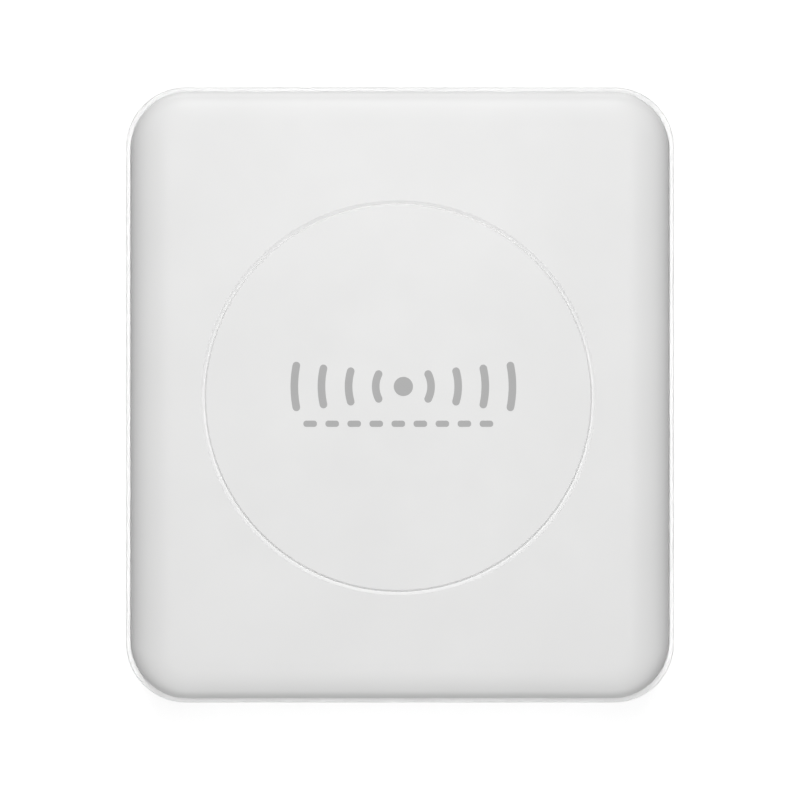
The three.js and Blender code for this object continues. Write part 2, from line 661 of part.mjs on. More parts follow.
const batteryTerminals = () =>
  box(
    around(0, TERMINALS.half),
    [PACK.back - REST - TERMINALS.thick, PACK.back - REST],
    [TERMINALS.low, TERMINALS.high],
  );

const batteryLabel = () => block(58, 46, 2, [PACK.low - 0.06 - LABEL, PACK.low - 0.06], { y: -16, arcs: 3 });
const ratingLabel = () => block(46, 34, 1.5, [BAY.top - 0.06 - LABEL, BAY.top - 0.06], { y: -14, arcs: 3 });

// Spring contacts at the back of the bay, in a block that goes up through the bay's ceiling to
// the board.
function batteryContacts() {
  const body = box(around(0, CONTACTS.half), [CONTACTS.front, BAY.back - 0.2], [CONTACTS.low, HANGING]);
  const blades = CONTACTS.bladeXs.map((x) => {
    const tip = box(around(x, 0.6), [CONTACTS.bladeFront, CONTACTS.front + 0.3], [6.1, 7.3]);
    return joined(tip, box(around(x, 0.6), [CONTACTS.bladeFront + 0.4, CONTACTS.front + 0.3], [5.2, 8.2]));
  });
  return joined(body, ...blades);
}

function batteryDoor() {
  const plate = block(2 * DOOR.x, DOOR.back - DOOR.front, DOOR.corner, [UNDERSIDE, UNDERSIDE + DOOR.thick], {
    y: (DOOR.front + DOOR.back) / 2,
    round: 0.25,
    steps: 1,
    arcs: 5,
  });
  const clips = CLIP.rows.flatMap((y) => [
    box([CLIP.inner, CLIP.outer], around(y, CLIP.half), [UNDERSIDE + 1, CLIP.top]),
    box([-CLIP.outer, -CLIP.inner], around(y, CLIP.half), [UNDERSIDE + 1, CLIP.top]),
  ]);
  return joined(plate, ...clips);
}

// ---------------------------------------------------------------- the assembly

const hotspot = new THREE.Group();

function add(name, made, material) {
  const mesh = new THREE.Mesh(drawable(made), MATERIALS[material]);
  mesh.name = name;
  hotspot.add(mesh);
}

const addEach = (name, items, make, material) =>
  items.forEach((item, i) => add(`${name}_${i + 1}`, make(item), material));

add("top_cover", topCover(), "cover");
add("mid_frame", midFrame(), "frame");
add("bottom_cover", bottomCover(), "base");
addEach("foot", FOOT_PLACES, foot, "rubber");
addEach("case_screw", SCREW_PLACES, caseScrew, "steel");

add("power_button", sideButton(POWER), "button");
add("power_switch_plunger", sidePlunger(POWER), "black");
add("power_switch", sideSwitch(POWER), "steel");
add("pairing_button", sideButton(PAIRING), "button");
add("pairing_switch_plunger", sidePlunger(PAIRING), "black");
add("pairing_switch", sideSwitch(PAIRING), "steel");
add("reset_plunger", resetPlunger(), "black");
add("reset_switch", resetSwitch(), "steel");

add("sim_tray", simTray(), "button");
add("sim_card", simCard(), "card");
add("sim_socket", simSocket(), "steel");

add("network_jack", networkJack(), "black");
add("network_jack_contacts", networkJackContacts(), "gold");
add("network_transformer", networkTransformer(), "chip");
add("usb_c_shell", usbShell(), "steel");
add("usb_c_tongue", usbTongue(), "black");

add("main_board", mainBoard(), "board");
add("modem_card", modemCard(), "board");
add("modem_shield", shieldCan([-25, 17], [4, 30], [MODEM.top + REST, 18.5]), "steel");
add("modem_thermal_pad", box([-22, 14], [7, 27], [18.6, SPREADER.low - REST]), "pad");
add("modem_socket", modemSocket(), "black");
add("modem_standoff", modemStandoff(), "gold");
add("modem_screw", modemScrew(), "steel");
add("processor", block(15, 15, 0.6, [STANDING, 15.3], { y: SPREADER.panY, arcs: 2 }), "chip");
add("processor_shield", shieldCan([-16, 16], [-40, -8], [STANDING, 16.2]), "steel");
add("processor_thermal_pad", box([-11, 11], [-35, -13], [16.3, SPREADER.panBottom - REST]), "pad");
add("heat_spreader", heatSpreader(), "aluminium");
addEach("wifi_aerial", WIFI_AERIALS, wifiAerial, "gold");
addEach("cell_aerial", CELL_AERIALS, cellAerial, "flex");
addEach("aerial_lead", LEAD_ROUTES, aerialLead, "lead");

add("light_guide", lightGuide(), "clear");
addEach("status_light", LIGHTS.xs, statusLight, "lamp");

add("battery_pack", batteryPack(), "pack");
add("battery_terminals", batteryTerminals(), "gold");
add("battery_label", batteryLabel(), "label");
add("battery_contacts", batteryContacts(), "black");
add("rating_label", ratingLabel(), "label");
add("battery_door", batteryDoor(), "base");

export default hotspot;
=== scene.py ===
# A mobile hotspot: the visual model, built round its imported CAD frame.
# Shapes are worked out in millimetres, and become metres when a piece is made. +Y is the side
# with the sockets, +X the side with the buttons, and the object stands on z = 0.
import json
import math

import bmesh
import bpy
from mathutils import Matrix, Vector


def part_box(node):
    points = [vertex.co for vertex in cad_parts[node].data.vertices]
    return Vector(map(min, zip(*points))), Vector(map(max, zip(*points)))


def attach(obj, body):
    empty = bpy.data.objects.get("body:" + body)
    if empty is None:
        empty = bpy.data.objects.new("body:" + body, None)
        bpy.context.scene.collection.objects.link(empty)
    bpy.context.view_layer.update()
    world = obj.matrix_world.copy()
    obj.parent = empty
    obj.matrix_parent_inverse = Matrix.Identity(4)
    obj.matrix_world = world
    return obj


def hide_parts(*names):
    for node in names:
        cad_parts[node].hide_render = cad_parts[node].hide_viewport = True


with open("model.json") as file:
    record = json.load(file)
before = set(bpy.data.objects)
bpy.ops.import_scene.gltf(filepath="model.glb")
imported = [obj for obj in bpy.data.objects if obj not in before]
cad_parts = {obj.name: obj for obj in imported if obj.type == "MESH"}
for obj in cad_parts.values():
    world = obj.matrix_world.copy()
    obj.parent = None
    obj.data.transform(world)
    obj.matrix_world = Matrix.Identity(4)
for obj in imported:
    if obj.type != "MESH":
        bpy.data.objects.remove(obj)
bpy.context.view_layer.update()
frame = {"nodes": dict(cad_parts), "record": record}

MM = 0.001
scene = bpy.context.scene


def node_box(name):
    """The lowest and highest corner of a CAD node, in millimetres."""
    low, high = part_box(name)
    return low / MM, high / MM


def middle(name):
    low, high = node_box(name)
    return (low + high) / 2


def plan(name):
    """A node's middle and its half size, both seen from above."""
    low, high = node_box(name)
    return tuple(middle(name).xy), tuple(((high - low) / 2).xy)


# ---- driving sizes, in millimetres

FRAME_LOW, FRAME_HIGH = node_box("mid_frame")
COVER_LOW, COVER_HIGH = node_box("top_cover")
HALF_X, HALF_Y = FRAME_HIGH.x, FRAME_HIGH.y
TOP = COVER_HIGH.z
UNDERSIDE = node_box("bottom_cover")[0].z

CORNER = 10.7  # radius of the case's corners, seen from above
WALL = 1.8
COVER_INSET = HALF_X - COVER_HIGH.x
COVER_CORNER = 10.2
COVER_FOOT = 15.4
COVER_WALL = 1.6
SHOULDER = 7.5  # width of the cover's rounded border
RISE = 5  # its height
FULLNESS = 2.25  # exponent of the border's curve: 2 is an ellipse, more is fuller
END_FULLNESS = 4  # the same, along the two ends of the cover
SEAM_GAP = 0.09  # between the cover and the frame's rim
LEDGE = 15.2
SEAM = 4.6  # top of the bottom cover's outer wall
FLOOR_TOP = UNDERSIDE + 1.6
INK = 0.03  # thickness of printed marks, which stand on surfaces lowered by as much
GROOVE = {"at": (-0.3, -0.5), "inner": 34.05, "outer": 34.94, "depth": 0.42, "slope": 0.36}

SCREWS = [plan(f"case_screw_{i}")[0] for i in (1, 2, 3, 4)]
PEGS = [(x, y) for x in (-30, 30) for y in (-38, 32)]
SNAPS = {"x": (-32, 0, 32), "y": (-30, 30)}  # walls facing X and Y, and the tongues' places
SNAP_HALF = 4

SIM_HALF = plan("sim_tray")[1][1]
SIM_AT = (middle("sim_tray").y, middle("sim_tray").z)
BUTTON_Z = middle("pairing_switch_plunger").z
BUTTON_HALF_HEIGHT = 1.6
BUTTONS = {"power": 5.7, "pairing": 3.0}  # half-lengths of the caps
LIGHT_XS = [middle(f"status_light_{i}").x for i in (1, 2, 3, 4)]
LIGHT_RADIUS = 0.9

BAY = {"x": 34.3, "front": -45.0, "back": 16.0, "top": 11.0, "wall": 1.8}
DOOR_LOW, DOOR_HIGH = node_box("battery_door")
DOOR_AT, DOOR_HALF = plan("battery_door")
CLIP_ROWS = (-34, -14, 6)
CONTACT_XS = (-5.4, -1.8, 1.8, 5.4)
FOOT_HALF = (3, 9)
VENT_XS = [6 * i for i in range(-4, 5)]
JACK_NOTCH = 7.6  # half-width of the notches round the network socket

BOARD_LOW, BOARD_HIGH = node_box("main_board")
ON_BOARD = BOARD_HIGH.z + 0.02  # where legs and small parts stand
CARD_LOW, CARD_HIGH = node_box("modem_card")
MODEM_SCREW = plan("modem_screw")[0]


# ---- outlines and lofts


def polar(radius, angle, at=(0, 0)):
    return at[0] + radius * math.cos(angle), at[1] + radius * math.sin(angle)


def arc(radius, start, end, steps, at=(0, 0)):
    """Points along an arc about a centre, from one angle to another."""
    return [polar(radius, start + (end - start) * i / steps, at) for i in range(steps + 1)]


def circle(radius, sides):
    return arc(radius, 0, 2 * math.pi, sides)[:-1]


def rounded(half_x, half_y, radius, arcs=20):
    """A rectangle with round corners as a list of (x, y), anticlockwise."""
    radius = max(min(radius, half_x - 1e-4, half_y - 1e-4), 1e-3)
    points = []
    for quarter, (sx, sy) in enumerate(((1, 1), (-1, 1), (-1, -1), (1, -1))):
        at = (sx * (half_x - radius), sy * (half_y - radius))
        points += arc(radius, math.pi / 2 * quarter, math.pi / 2 * (quarter + 1), arcs, at)
    return points


def spread(length, pitch):
    """As many places as fit in a length, one pitch apart and centred on 0."""
    count = int(length / pitch)
    return [(i - count / 2) * pitch for i in range(count + 1)]


def fillet(radius, steps=5, rise=None):
    """How a rounded edge moves from a wall into a face: pairs of (inwards, towards the face)."""
    if radius == 0:
        return [(0, 0)]
    rise = radius if rise is None else rise
    turns = (math.pi / 2 * i / steps for i in range(steps + 1))
    return [(radius * (1 - math.cos(a)), rise * math.sin(a)) for a in turns]


def loft(rings, closed=False):
    """A solid through rings with equally many points: capped at both ends, or closed on itself."""
    count = len(rings[0])
    verts = [p for ring in rings for p in ring]
    faces = []
    for r in range(len(rings) if closed else len(rings) - 1):
        a, b = r * count, (r + 1) % len(rings) * count
        for i in range(count):
            j = (i + 1) % count
            faces.append((a + i, a + j, b + j, b + i))
    if not closed:
        faces.append(tuple(reversed(range(count))))
        faces.append(tuple(range((len(rings) - 1) * count, len(rings) * count)))
    return verts, faces


def flat_ring(outline, z, at=(0, 0)):
    return [(x + at[0], y + at[1], z) for x, y in outline]


def case_ring(inset, z, corner=None):
    """The case's outline at a height, moved inwards, with concentric corners or a radius given."""
    corner = CORNER - inset if corner is None else corner
    return flat_ring(rounded(HALF_X - inset, HALF_Y - inset, corner), z)


def hoop(inner, outer, low, high, at):
    """A flat hoop between two outlines with equally many points."""
    edges = ((inner, low), (outer, low), (outer, high), (inner, high))
    return loft([flat_ring(outline, z, at) for outline, z in edges], closed=True)


AXES = {
    "+x": lambda u, v, w: (w, u, v),
    "-x": lambda u, v, w: (-w, u, v),
    "+y": lambda u, v, w: (u, w, v),
    "-y": lambda u, v, w: (u, -w, v),
    "-z": lambda u, v, w: (u, v, -w),
}


def facing(side, shape):
    """Turns a shape made facing +Z so that it faces a side, with its own Y upright."""
    verts, faces = shape
    return [AXES[side](*v) for v in verts], faces


def at_snaps(make):
    """What make(place, reach) gives for each snap, along all four walls."""
    placed = []
    for axis, places in SNAPS.items():
        reach = HALF_X if axis == "x" else HALF_Y
        for side in ("+" + axis, "-" + axis):
            placed += [facing(side, shape) for place in places for shape in make(place, reach)]
    return placed


def prism(half_u, half_v, radius, low, high, at=(0, 0), top=0.0, bottom=0.0, arcs=6, flare=False):
    """A rounded bar along its own Z. top and bottom are the roundovers of its ends; with flare its
    top grows outwards instead, which makes a cutter that leaves a rounded lip."""
    levels = [(inwards, low + bottom - rise) for inwards, rise in reversed(fillet(bottom, 4))]
    levels += [(inwards, high - top + rise) for inwards, rise in fillet(top, 4)]
    if flare:
        levels.append((levels[-1][0], levels[-1][1] + 1))
    rings = []
    for inwards, z in levels:
        inset = -inwards if flare else inwards
        rings.append(flat_ring(rounded(half_u - inset, half_v - inset, radius - inset, arcs), z, at))
    return loft(rings)


def opening(side, half_u, half_v, radius, at, face, lip=0.2, depth=4.0, arcs=6):
    """The cutter for an opening in a flat wall or floor, which leaves a rounded lip outside."""
    return facing(side, prism(half_u, half_v, radius, face - depth, face, at, lip, arcs=arcs, flare=True))


def round_opening(side, radius, at, face, lip=0.12):
    return opening(side, radius, radius, radius - 0.001, at, face, lip, arcs=8)


def underside_opening(half_x, half_y, radius, at, depth, lip=0.15, arcs=6):
    """An opening cut upwards from the underside."""
    return opening("-z", half_x, half_y, radius, at, -UNDERSIDE, lip, depth, arcs)


def block(x, y, z, radius=0.15, arcs=3):
    """A box from its low and high X, Y and Z, with softened corners and edges."""
    half_x, half_y = (x[1] - x[0]) / 2, (y[1] - y[0]) / 2
    soft = min(radius, (z[1] - z[0]) / 3)
    at = ((x[0] + x[1]) / 2, (y[0] + y[1]) / 2)
    return prism(half_x, half_y, max(radius, soft + 0.01), z[0], z[1], at, soft, soft, arcs)


def slab(at, half, z, radius=0.15, arcs=3):
    """A block from its middle and half size seen from above, and its low and high Z."""
    xs, ys = ((at[k] - half[k], at[k] + half[k]) for k in (0, 1))
    return block(xs, ys, z, radius, arcs)


def node_block(name, radius=0.15):
    low, high = node_box(name)
    return block((low.x, high.x), (low.y, high.y), (low.z, high.z), radius)


def lathe(profile, sides, at):
    """A solid turned about Z from a profile of (radius, height) that starts and ends on the axis."""
    return loft([flat_ring(circle(max(r, 1e-3), sides), z, at) for r, z in profile])


def rod(radius, low, high, at, sides=24):
    return lathe([(0, low), (radius, low), (radius, high), (0, high)], sides, at)


def dimple(radius, depth, surface, at, sides=24):
    """The cutter for a round dimple, such as the one that shows a chip's first pin."""
    floor, above = surface - depth, surface + 1
    return lathe([(0, floor), (radius, floor), (radius + 0.05, above), (0, above)], sides, at)


def cross_recess(at, long, short, z):
    """The cutters for the cross in a screw's head."""
    return [slab(at, half, z, 0.08) for half in ((long, short), (short, long))]


def arc_bar(radius, half_angle, width, low, high, at=(0, 0), turned=0.0):
    """A flat bar with round ends, bent round a centre: a stroke of a printed arc."""
    start, end = turned - half_angle, turned + half_angle
    outline = arc(radius + width / 2, start, end, 16)
    outline += arc(width / 2, end, end + math.pi, 8, polar(radius, end))[1:-1]
    outline += arc(radius - width / 2, end, start, 16)
    outline += arc(width / 2, start - math.pi, start, 8, polar(radius, start))[1:-1]
    return loft([flat_ring(outline, low, at), flat_ring(outline, high, at)])


def curved(points, steps=4):
    """A smooth line through points, which doesn't swing out where they stand close together."""
    ends = [points[0] * 2 - points[1], *points, points[-1] * 2 - points[-2]]
    line = []
    for four in zip(ends, ends[1:], ends[2:], ends[3:]):
        knots = [0.0]
        for start, end in zip(four, four[1:]):
            knots.append(knots[-1] + math.sqrt((end - start).length))
        for i in range(steps):
            t = knots[1] + (knots[2] - knots[1]) * i / steps
            level = list(four)
            for span, first in ((1, 0), (2, 0), (1, 1)):
                level = [
                    here.lerp(there, (t - knots[first + k]) / (knots[first + k + span] - knots[first + k]))
                    for k, (here, there) in enumerate(zip(level, level[1:]))
                ]
            line.append(level[0])
    return [*line, points[-1]]


def swept(line, outline):
    """A solid whose outline is carried along a line without twisting."""
    rings = []
    side = None
    for i, point in enumerate(line):
        ahead = (line[min(i + 1, len(line) - 1)] - line[max(i - 1, 0)]).normalized()
        if side is None:
            side = ahead.orthogonal() if abs(ahead.x) > 0.9 else Vector((1, 0, 0))
        side = (side - ahead * side.dot(ahead)).normalized()
        up = ahead.cross(side)
        rings.append([tuple(point + side * u + up * v) for u, v in outline])
    return loft(rings)


def bent_strip(x, path, half_width, thickness):
    """A strip of sheet metal bent along a path of (y, z)."""
    line = curved([Vector((x, y, z)) for y, z in path])
    return swept(line, rounded(half_width, thickness / 2, thickness / 4, 2))


# ---- meshes, cuts and pieces

SHARP = math.radians(32)


def object_of(shape, name="shape"):
    verts, faces = shape
    mesh = bpy.data.meshes.new(name)
    mesh.from_pydata([Vector(v) * MM for v in verts], [], faces)
    shaped = bmesh.new()
    shaped.from_mesh(mesh)
    bmesh.ops.recalc_face_normals(shaped, faces=shaped.faces)
    shaped.to_mesh(mesh)
    shaped.free()
    made = bpy.data.objects.new(name, mesh)
    scene.collection.objects.link(made)
    return made


def combine(base, operation, shapes):
    """The base shape with each other shape joined to it or cut from it, as an object."""
    body = base if isinstance(base, bpy.types.Object) else object_of(base)
    tools = [object_of(s) for s in shapes]
    for tool in tools:
        change = body.modifiers.new("change", "BOOLEAN")
        change.solver = "MANIFOLD"
        change.operation = operation
        change.object = tool
    depsgraph = bpy.context.evaluated_depsgraph_get()
    mesh = bpy.data.meshes.new_from_object(body.evaluated_get(depsgraph))
    body.modifiers.clear()
    body.data = mesh
    for tool in tools:
        bpy.data.objects.remove(tool)
    return body


def joined(base, *shapes):
    return combine(base, "UNION", shapes)


def cut(base, *shapes):
    return combine(base, "DIFFERENCE", shapes)


def together(*shapes):
    """Several separate shapes as one."""
    verts, faces = [], []
    for more_verts, more_faces in shapes:
        start = len(verts)
        verts += more_verts
        faces += [tuple(start + i for i in face) for face in more_faces]
    return verts, faces


def smooth(mesh):
    """Rounds the shading, except across edges that are truly sharp."""
    shaped = bmesh.new()
    shaped.from_mesh(mesh)
    bmesh.ops.dissolve_degenerate(shaped, dist=1e-7, edges=shaped.edges)
    for face in shaped.faces:
        face.smooth = True
    for edge in shaped.edges:
        edge.smooth = len(edge.link_faces) == 2 and edge.calc_face_angle(0) < SHARP
    shaped.to_mesh(mesh)
    shaped.free()


def piece(name, shape, finish, *replaces, body="housing", slot=None):
    """A finished piece that rides on a CAD body and stands for the CAD nodes it replaces. The slot
    argument is not used."""
    made = shape if isinstance(shape, bpy.types.Object) else object_of(shape)
    made.name = name
    made.data.name = name
    smooth(made.data)
    normals = made.modifiers.new("normals", "WEIGHTED_NORMAL")
    normals.keep_sharp = True
    normals.weight = 100
    made.data.materials.clear()
    made.data.materials.append(MATERIALS[finish])
    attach(made, body)
    if replaces:
        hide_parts(*replaces)
    return made


# ---- materials


class Nodes:
    """A short way to lay out a material's nodes."""

    def __init__(self, name):
        self.material = bpy.data.materials.new(name)
        self.material.use_nodes = True
        self.tree = self.material.node_tree
        self.shader = self.tree.nodes["Principled BSDF"]
        self.place = self.add("ShaderNodeTexCoord").outputs["Object"]

    def add(self, kind, inputs=None, **settings):
        node = self.tree.nodes.new(kind)
        for key, value in settings.items():
            setattr(node, key, value)
        for key, value in (inputs or {}).items():
            self.feed(node.inputs[key], value)
        return node

    def feed(self, socket, value):
        """Links another node's output to a socket, or sets a plain value on it."""
        if isinstance(value, bpy.types.NodeSocket):
            self.tree.links.new(value, socket)
        else:
            socket.default_value = value

    def shade(self, **sockets):
        for key, value in sockets.items():
            self.feed(self.shader.inputs[key.replace("_", " ")], value)

    def noise(self, size, detail=2.0, rough=0.5, stretch=None):
        """Noise whose patches are about size millimetres across."""
        place = self.place
        if stretch:
            place = self.add("ShaderNodeMapping", {"Vector": place, "Scale": stretch}).outputs[0]
        settings = {"Vector": place, "Scale": 1 / (size * MM), "Detail": detail, "Roughness": rough}
        return self.add("ShaderNodeTexNoise", settings).outputs["Fac"]

    def between(self, value, low, high, source=(0.3, 0.7)):
        """The value spread over a range of numbers."""
        inputs = {"Value": value, 1: source[0], 2: source[1], 3: low, 4: high}
        return self.add("ShaderNodeMapRange", inputs).outputs[0]

    def blend(self, value, low, high, source=(0.3, 0.7)):
        """The value as a colour between two colours."""
        ramp = self.add("ShaderNodeValToRGB", {"Fac": value})
        ends = ramp.color_ramp.elements
        ends[0].position, ends[1].position = source
        ends[0].color, ends[1].color = (*low, 1), (*high, 1)
        return ramp.outputs["Color"]

    def bump(self, height, depth, strength=1.0):
        """A bump that is depth millimetres deep."""
        inputs = {"Height": height, "Distance": depth * MM, "Strength": strength}
        return self.add("ShaderNodeBump", inputs).outputs["Normal"]


def scaled(color, factor):
    return tuple(min(c * factor, 1.0) for c in color)


def plastic(name, color, roughness, grain=0.3, depth=0.002, coat=0.0, specular=0.5):
    """Moulded plastic: a fine grain, a slow drift of tone and a slightly uneven gloss."""
    n = Nodes(name)
    drift = n.noise(22, detail=1)
    fine = n.noise(grain, detail=3, rough=0.6)
    worn = n.noise(6, detail=4, rough=0.6)
    n.shade(
        Base_Color=n.blend(drift, scaled(color, 0.985), scaled(color, 1.01)),
        Roughness=n.between(worn, roughness - 0.025, roughness + 0.025),
        Normal=n.bump(fine, depth),
        Coat_Weight=coat,
        Coat_Roughness=0.1,
        Specular_IOR_Level=specular,
    )
    return n.material


def metal(name, color, roughness, stretch=(1, 12, 1), size=0.4):
    """Rolled or brushed metal, its fine lines running across the stretch."""
    n = Nodes(name)
    lines = n.noise(size, detail=3, rough=0.6, stretch=stretch)
    stain = n.noise(5, detail=3)
    n.shade(
        Base_Color=n.blend(stain, scaled(color, 0.94), scaled(color, 1.03)),
        Metallic=1.0,
        Roughness=n.between(lines, roughness - 0.06, roughness + 0.08),
        Normal=n.bump(lines, 0.002),
    )
    return n.material


def rubber(name, color):
    n = Nodes(name)
    pores = n.noise(0.25, detail=4, rough=0.7)
    dust = n.noise(3, detail=4)
    n.shade(
        Base_Color=n.blend(dust, scaled(color, 0.9), scaled(color, 1.12)),
        Roughness=n.between(pores, 0.72, 0.9),
        Normal=n.bump(pores, 0.02),
    )
    return n.material


def paper(name, color):
    n = Nodes(name)
    fibre = n.noise(0.5, detail=5, rough=0.65)
    n.shade(
        Base_Color=n.blend(fibre, scaled(color, 0.95), color),
        Roughness=n.between(fibre, 0.5, 0.62),
        Normal=n.bump(fibre, 0.004),
    )
    return n.material


def circuit_board(name, color):
    """Green solder mask over copper tracks, which run along X in some patches, along Y in others."""
    n = Nodes(name)
    patch_settings = {"Vector": n.place, "Scale": 1 / (7 * MM), "Randomness": 0.8}
    patches = n.add("ShaderNodeTexVoronoi", patch_settings, distance="CHEBYCHEV").outputs["Color"]
    turned = n.between(n.add("ShaderNodeSeparateColor", {0: patches}).outputs[0], 0, 1, (0.49, 0.51))
    pitch = 0.7 * MM
    bands = {"Vector": n.place, "Scale": 2 * math.pi / (20 * pitch), "Distortion": 0.0}
    runs = [n.add("ShaderNodeTexWave", bands, bands_direction=axis).outputs["Fac"] for axis in "XY"]
    tracks = n.add("ShaderNodeMix", {"Factor": turned, "A": runs[0], "B": runs[1]}).outputs["Result"]
    copper = n.between(tracks, 0, 1, (0.55, 0.7))
    weave = n.noise(0.4, detail=3)
    n.shade(
        Base_Color=n.blend(copper, color, scaled(color, 1.6), (0.1, 0.9)),
        Roughness=n.between(weave, 0.38, 0.5),
        Normal=n.bump(copper, 0.02, 0.5),
        Coat_Weight=0.12,
        Coat_Roughness=0.2,
    )
    return n.material


COVER_WHITE = (0.80, 0.80, 0.797)
FRAME_WHITE = (0.87, 0.87, 0.868)
# painted highlight: a lighter white than the cover's plastic, put on the groove's outer slope
SLOPE_HIGHLIGHT_WHITE = (0.92, 0.92, 0.918)
BUTTON_WHITE = (0.84, 0.84, 0.837)

MATERIALS = {
    "cover": plastic("cover_plastic", COVER_WHITE, 0.36, grain=0.35, depth=0.0016, specular=0.28),
    "frame": plastic("frame_plastic", FRAME_WHITE, 0.38, grain=1.5, depth=0.001, specular=0.22),
    "base": plastic("base_plastic", (0.78, 0.78, 0.775), 0.42, depth=0.006),
    # the groove's outer slope, with its painted highlight
    "slope": plastic("slope_painted_highlight", SLOPE_HIGHLIGHT_WHITE, 0.45, grain=2.0, depth=0.0005, specular=0.3),
    "button": plastic("button_plastic", BUTTON_WHITE, 0.36, grain=0.6, specular=0.25),
    "mark": plastic("mark_ink", (0.40, 0.40, 0.40), 0.45, grain=0.2),
    "black": plastic("black_plastic", (0.022, 0.022, 0.024), 0.42, grain=0.25, depth=0.006),
    "chip": plastic("chip_resin", (0.03, 0.03, 0.032), 0.5, grain=0.15, depth=0.004),
    "ceramic": plastic("ceramic_body", (0.30, 0.22, 0.15), 0.35, grain=0.2),
    "flex": plastic("flex_film", (0.05, 0.045, 0.035), 0.35, grain=0.4),
    "lead": plastic("lead_jacket", (0.02, 0.02, 0.022), 0.45),
    "cell": plastic("cell_wrap", (0.05, 0.053, 0.06), 0.4, grain=0.4, depth=0.004),
    "card": plastic("card_plastic", (0.78, 0.78, 0.76), 0.4),
    "clear": plastic("light_pipe", (0.62, 0.66, 0.68), 0.12, grain=1.0, depth=0.0005, coat=0.6),
    "lamp": plastic("lamp_lens", (0.85, 0.78, 0.35), 0.2, grain=0.4, coat=0.5),
    "pad": plastic("thermal_pad", (0.22, 0.32, 0.38), 0.7, grain=0.5, depth=0.02),
    "rubber": rubber("foot_rubber", (0.34, 0.345, 0.35)),
    "steel": metal("plated_steel", (0.60, 0.61, 0.62), 0.3),
    "aluminium": metal("rolled_aluminium", (0.80, 0.81, 0.82), 0.34, stretch=(1, 30, 1), size=0.8),
    "gold": metal("gold_plate", (0.85, 0.62, 0.25), 0.25, stretch=(1, 4, 1)),
    "label": paper("label_paper", (0.80, 0.80, 0.78)),
    "board": circuit_board("solder_mask", (0.006, 0.062, 0.026)),
}

for subpart in frame["record"]["subparts"]:
    shown = frame["nodes"][subpart["node"]]
    shown.data.materials.clear()
    shown.data.materials.append(MATERIALS[subpart["material_slot"]])


# ---- top cover


def pillow_rings(inset, corner, top, steps):
    """The cover's outside or inside: straight sides, then the rounded border up to the flat."""
    start = top - RISE
    rings = [case_ring(inset, COVER_FOOT, corner), case_ring(inset, start, corner)]
    for i in range(1, steps + 1):
        turn = math.pi / 2 * i / steps
        rise = min(math.sin(turn) ** (2 / FULLNESS), 1)
        inwards = SHOULDER * (1 - math.cos(turn) ** (2 / FULLNESS))
        at_ends = SHOULDER * (1 - (1 - rise**END_FULLNESS) ** (1 / END_FULLNESS))
        outline = rounded(HALF_X - inset - inwards, HALF_Y - inset - at_ends, corner - inwards)
        rings.append(flat_ring(outline, start + RISE * rise))
    return rings


def round_groove(surface):
    """The cutter for the round groove: a steep inner side and a long outer slope, with soft lips."""
    inner, outer, depth = GROOVE["inner"], GROOVE["outer"], GROOVE["depth"]
    lowest = inner + GROOVE["slope"] - 0.05
    section = [
        (inner - 0.1, 0.3),
        (inner - 0.1, 0.0),
        (inner, -0.02),
        (inner + 0.05, -0.07),
        (lowest - 0.05, 0.02 - depth),
        (lowest, -depth),
        (lowest + 0.05, 0.02 - depth),
        (outer - 0.06, -0.012),
        (outer + 0.06, 0.0),
        (outer + 0.06, 0.3),
    ]
    rings = [flat_ring(circle(r, 256), surface + h, GROOVE["at"]) for r, h in section]
    return loft(rings, closed=True)


def paint_highlight_on_outer_slope(shell):
    """Paints a highlight on the groove's outer slope: it gets a brighter plastic than the cover's."""
    shell.data.materials.append(MATERIALS["slope"])
    centre = Vector((*GROOVE["at"], 0)) * MM
    for face in shell.data.polygons:
        reach = (face.center - centre).to_2d().length / MM
        if GROOVE["inner"] + GROOVE["slope"] < reach < GROOVE["outer"] and 0.3 < face.normal.z < 0.995:
            face.material_index = 1


def snap_tongue(place, reach):
    """A tongue that holds the cover in the frame, and the bar on it that catches in its slot."""
    tongue = block((place - SNAP_HALF, place + SNAP_HALF), (COVER_LOW.z, 17), (reach - 3, reach - 2.1))
    catch = block((place - 3, place + 3), (14.2, 14.65), (reach - 2.9, reach - 1.35), 0.1)
    return tongue, catch


def post(at, radius, low, high):
    """An upright round post with a softened lower edge."""
    profile = [(0, low), (radius - 0.2, low), (radius, low + 0.2), (radius, high), (0, high)]
    return lathe(profile, 32, at)


def top_cover():
    surface = TOP - INK
    ceiling = TOP - COVER_WALL
    outside = pillow_rings(COVER_INSET, COVER_CORNER, surface, 24)
    inside = pillow_rings(COVER_INSET + COVER_WALL, COVER_CORNER - COVER_WALL, ceiling, 8)
    shell = loft([*reversed(inside), *outside])
    bosses = [post(at, 2.8, COVER_LOW.z, ceiling + 0.2) for at in SCREWS]
    bores = [post(at, 1.05, 13, 18) for at in SCREWS]
    pegs = [post(at, 1.3, 18.9, ceiling + 0.2) for at in PEGS]
    solid = joined(shell, *at_snaps(snap_tongue), *bosses, *pegs)
    made = piece("top_cover_shell", cut(solid, round_groove(surface), *bores), "cover", "top_cover")
    paint_highlight_on_outer_slope(made)
    return made


def cover_mark():
    """A plain broadcasting sign: a dot with widening arcs on both sides, over a row of dashes."""
    low, high = TOP - 2 * INK, TOP - 0.005
    centre = (0.6, 1.5)
    strokes = [rod(1.7, low, high, centre, 48)]
    for i, reach in enumerate((4.9, 9.7, 14.5, 19.3)):
        half_angle = math.asin((2.2 + 0.5 * i) / reach)
        strokes += [arc_bar(reach, half_angle, 1.35, low, high, centre, turned) for turned in (0, math.pi)]
    strokes += [prism(1.2, 0.55, 0.5, low, high, (3.9 * i - 0.3, -5.1)) for i in range(-4, 5)]
    return piece("cover_mark", together(*strokes), "mark", slot="cover")


# ---- mid frame


def snap_slot(place, reach):
    return [block((place - SNAP_HALF, place + SNAP_HALF), (14, 14.85), (reach - 3, reach - 0.8), 0.05)]


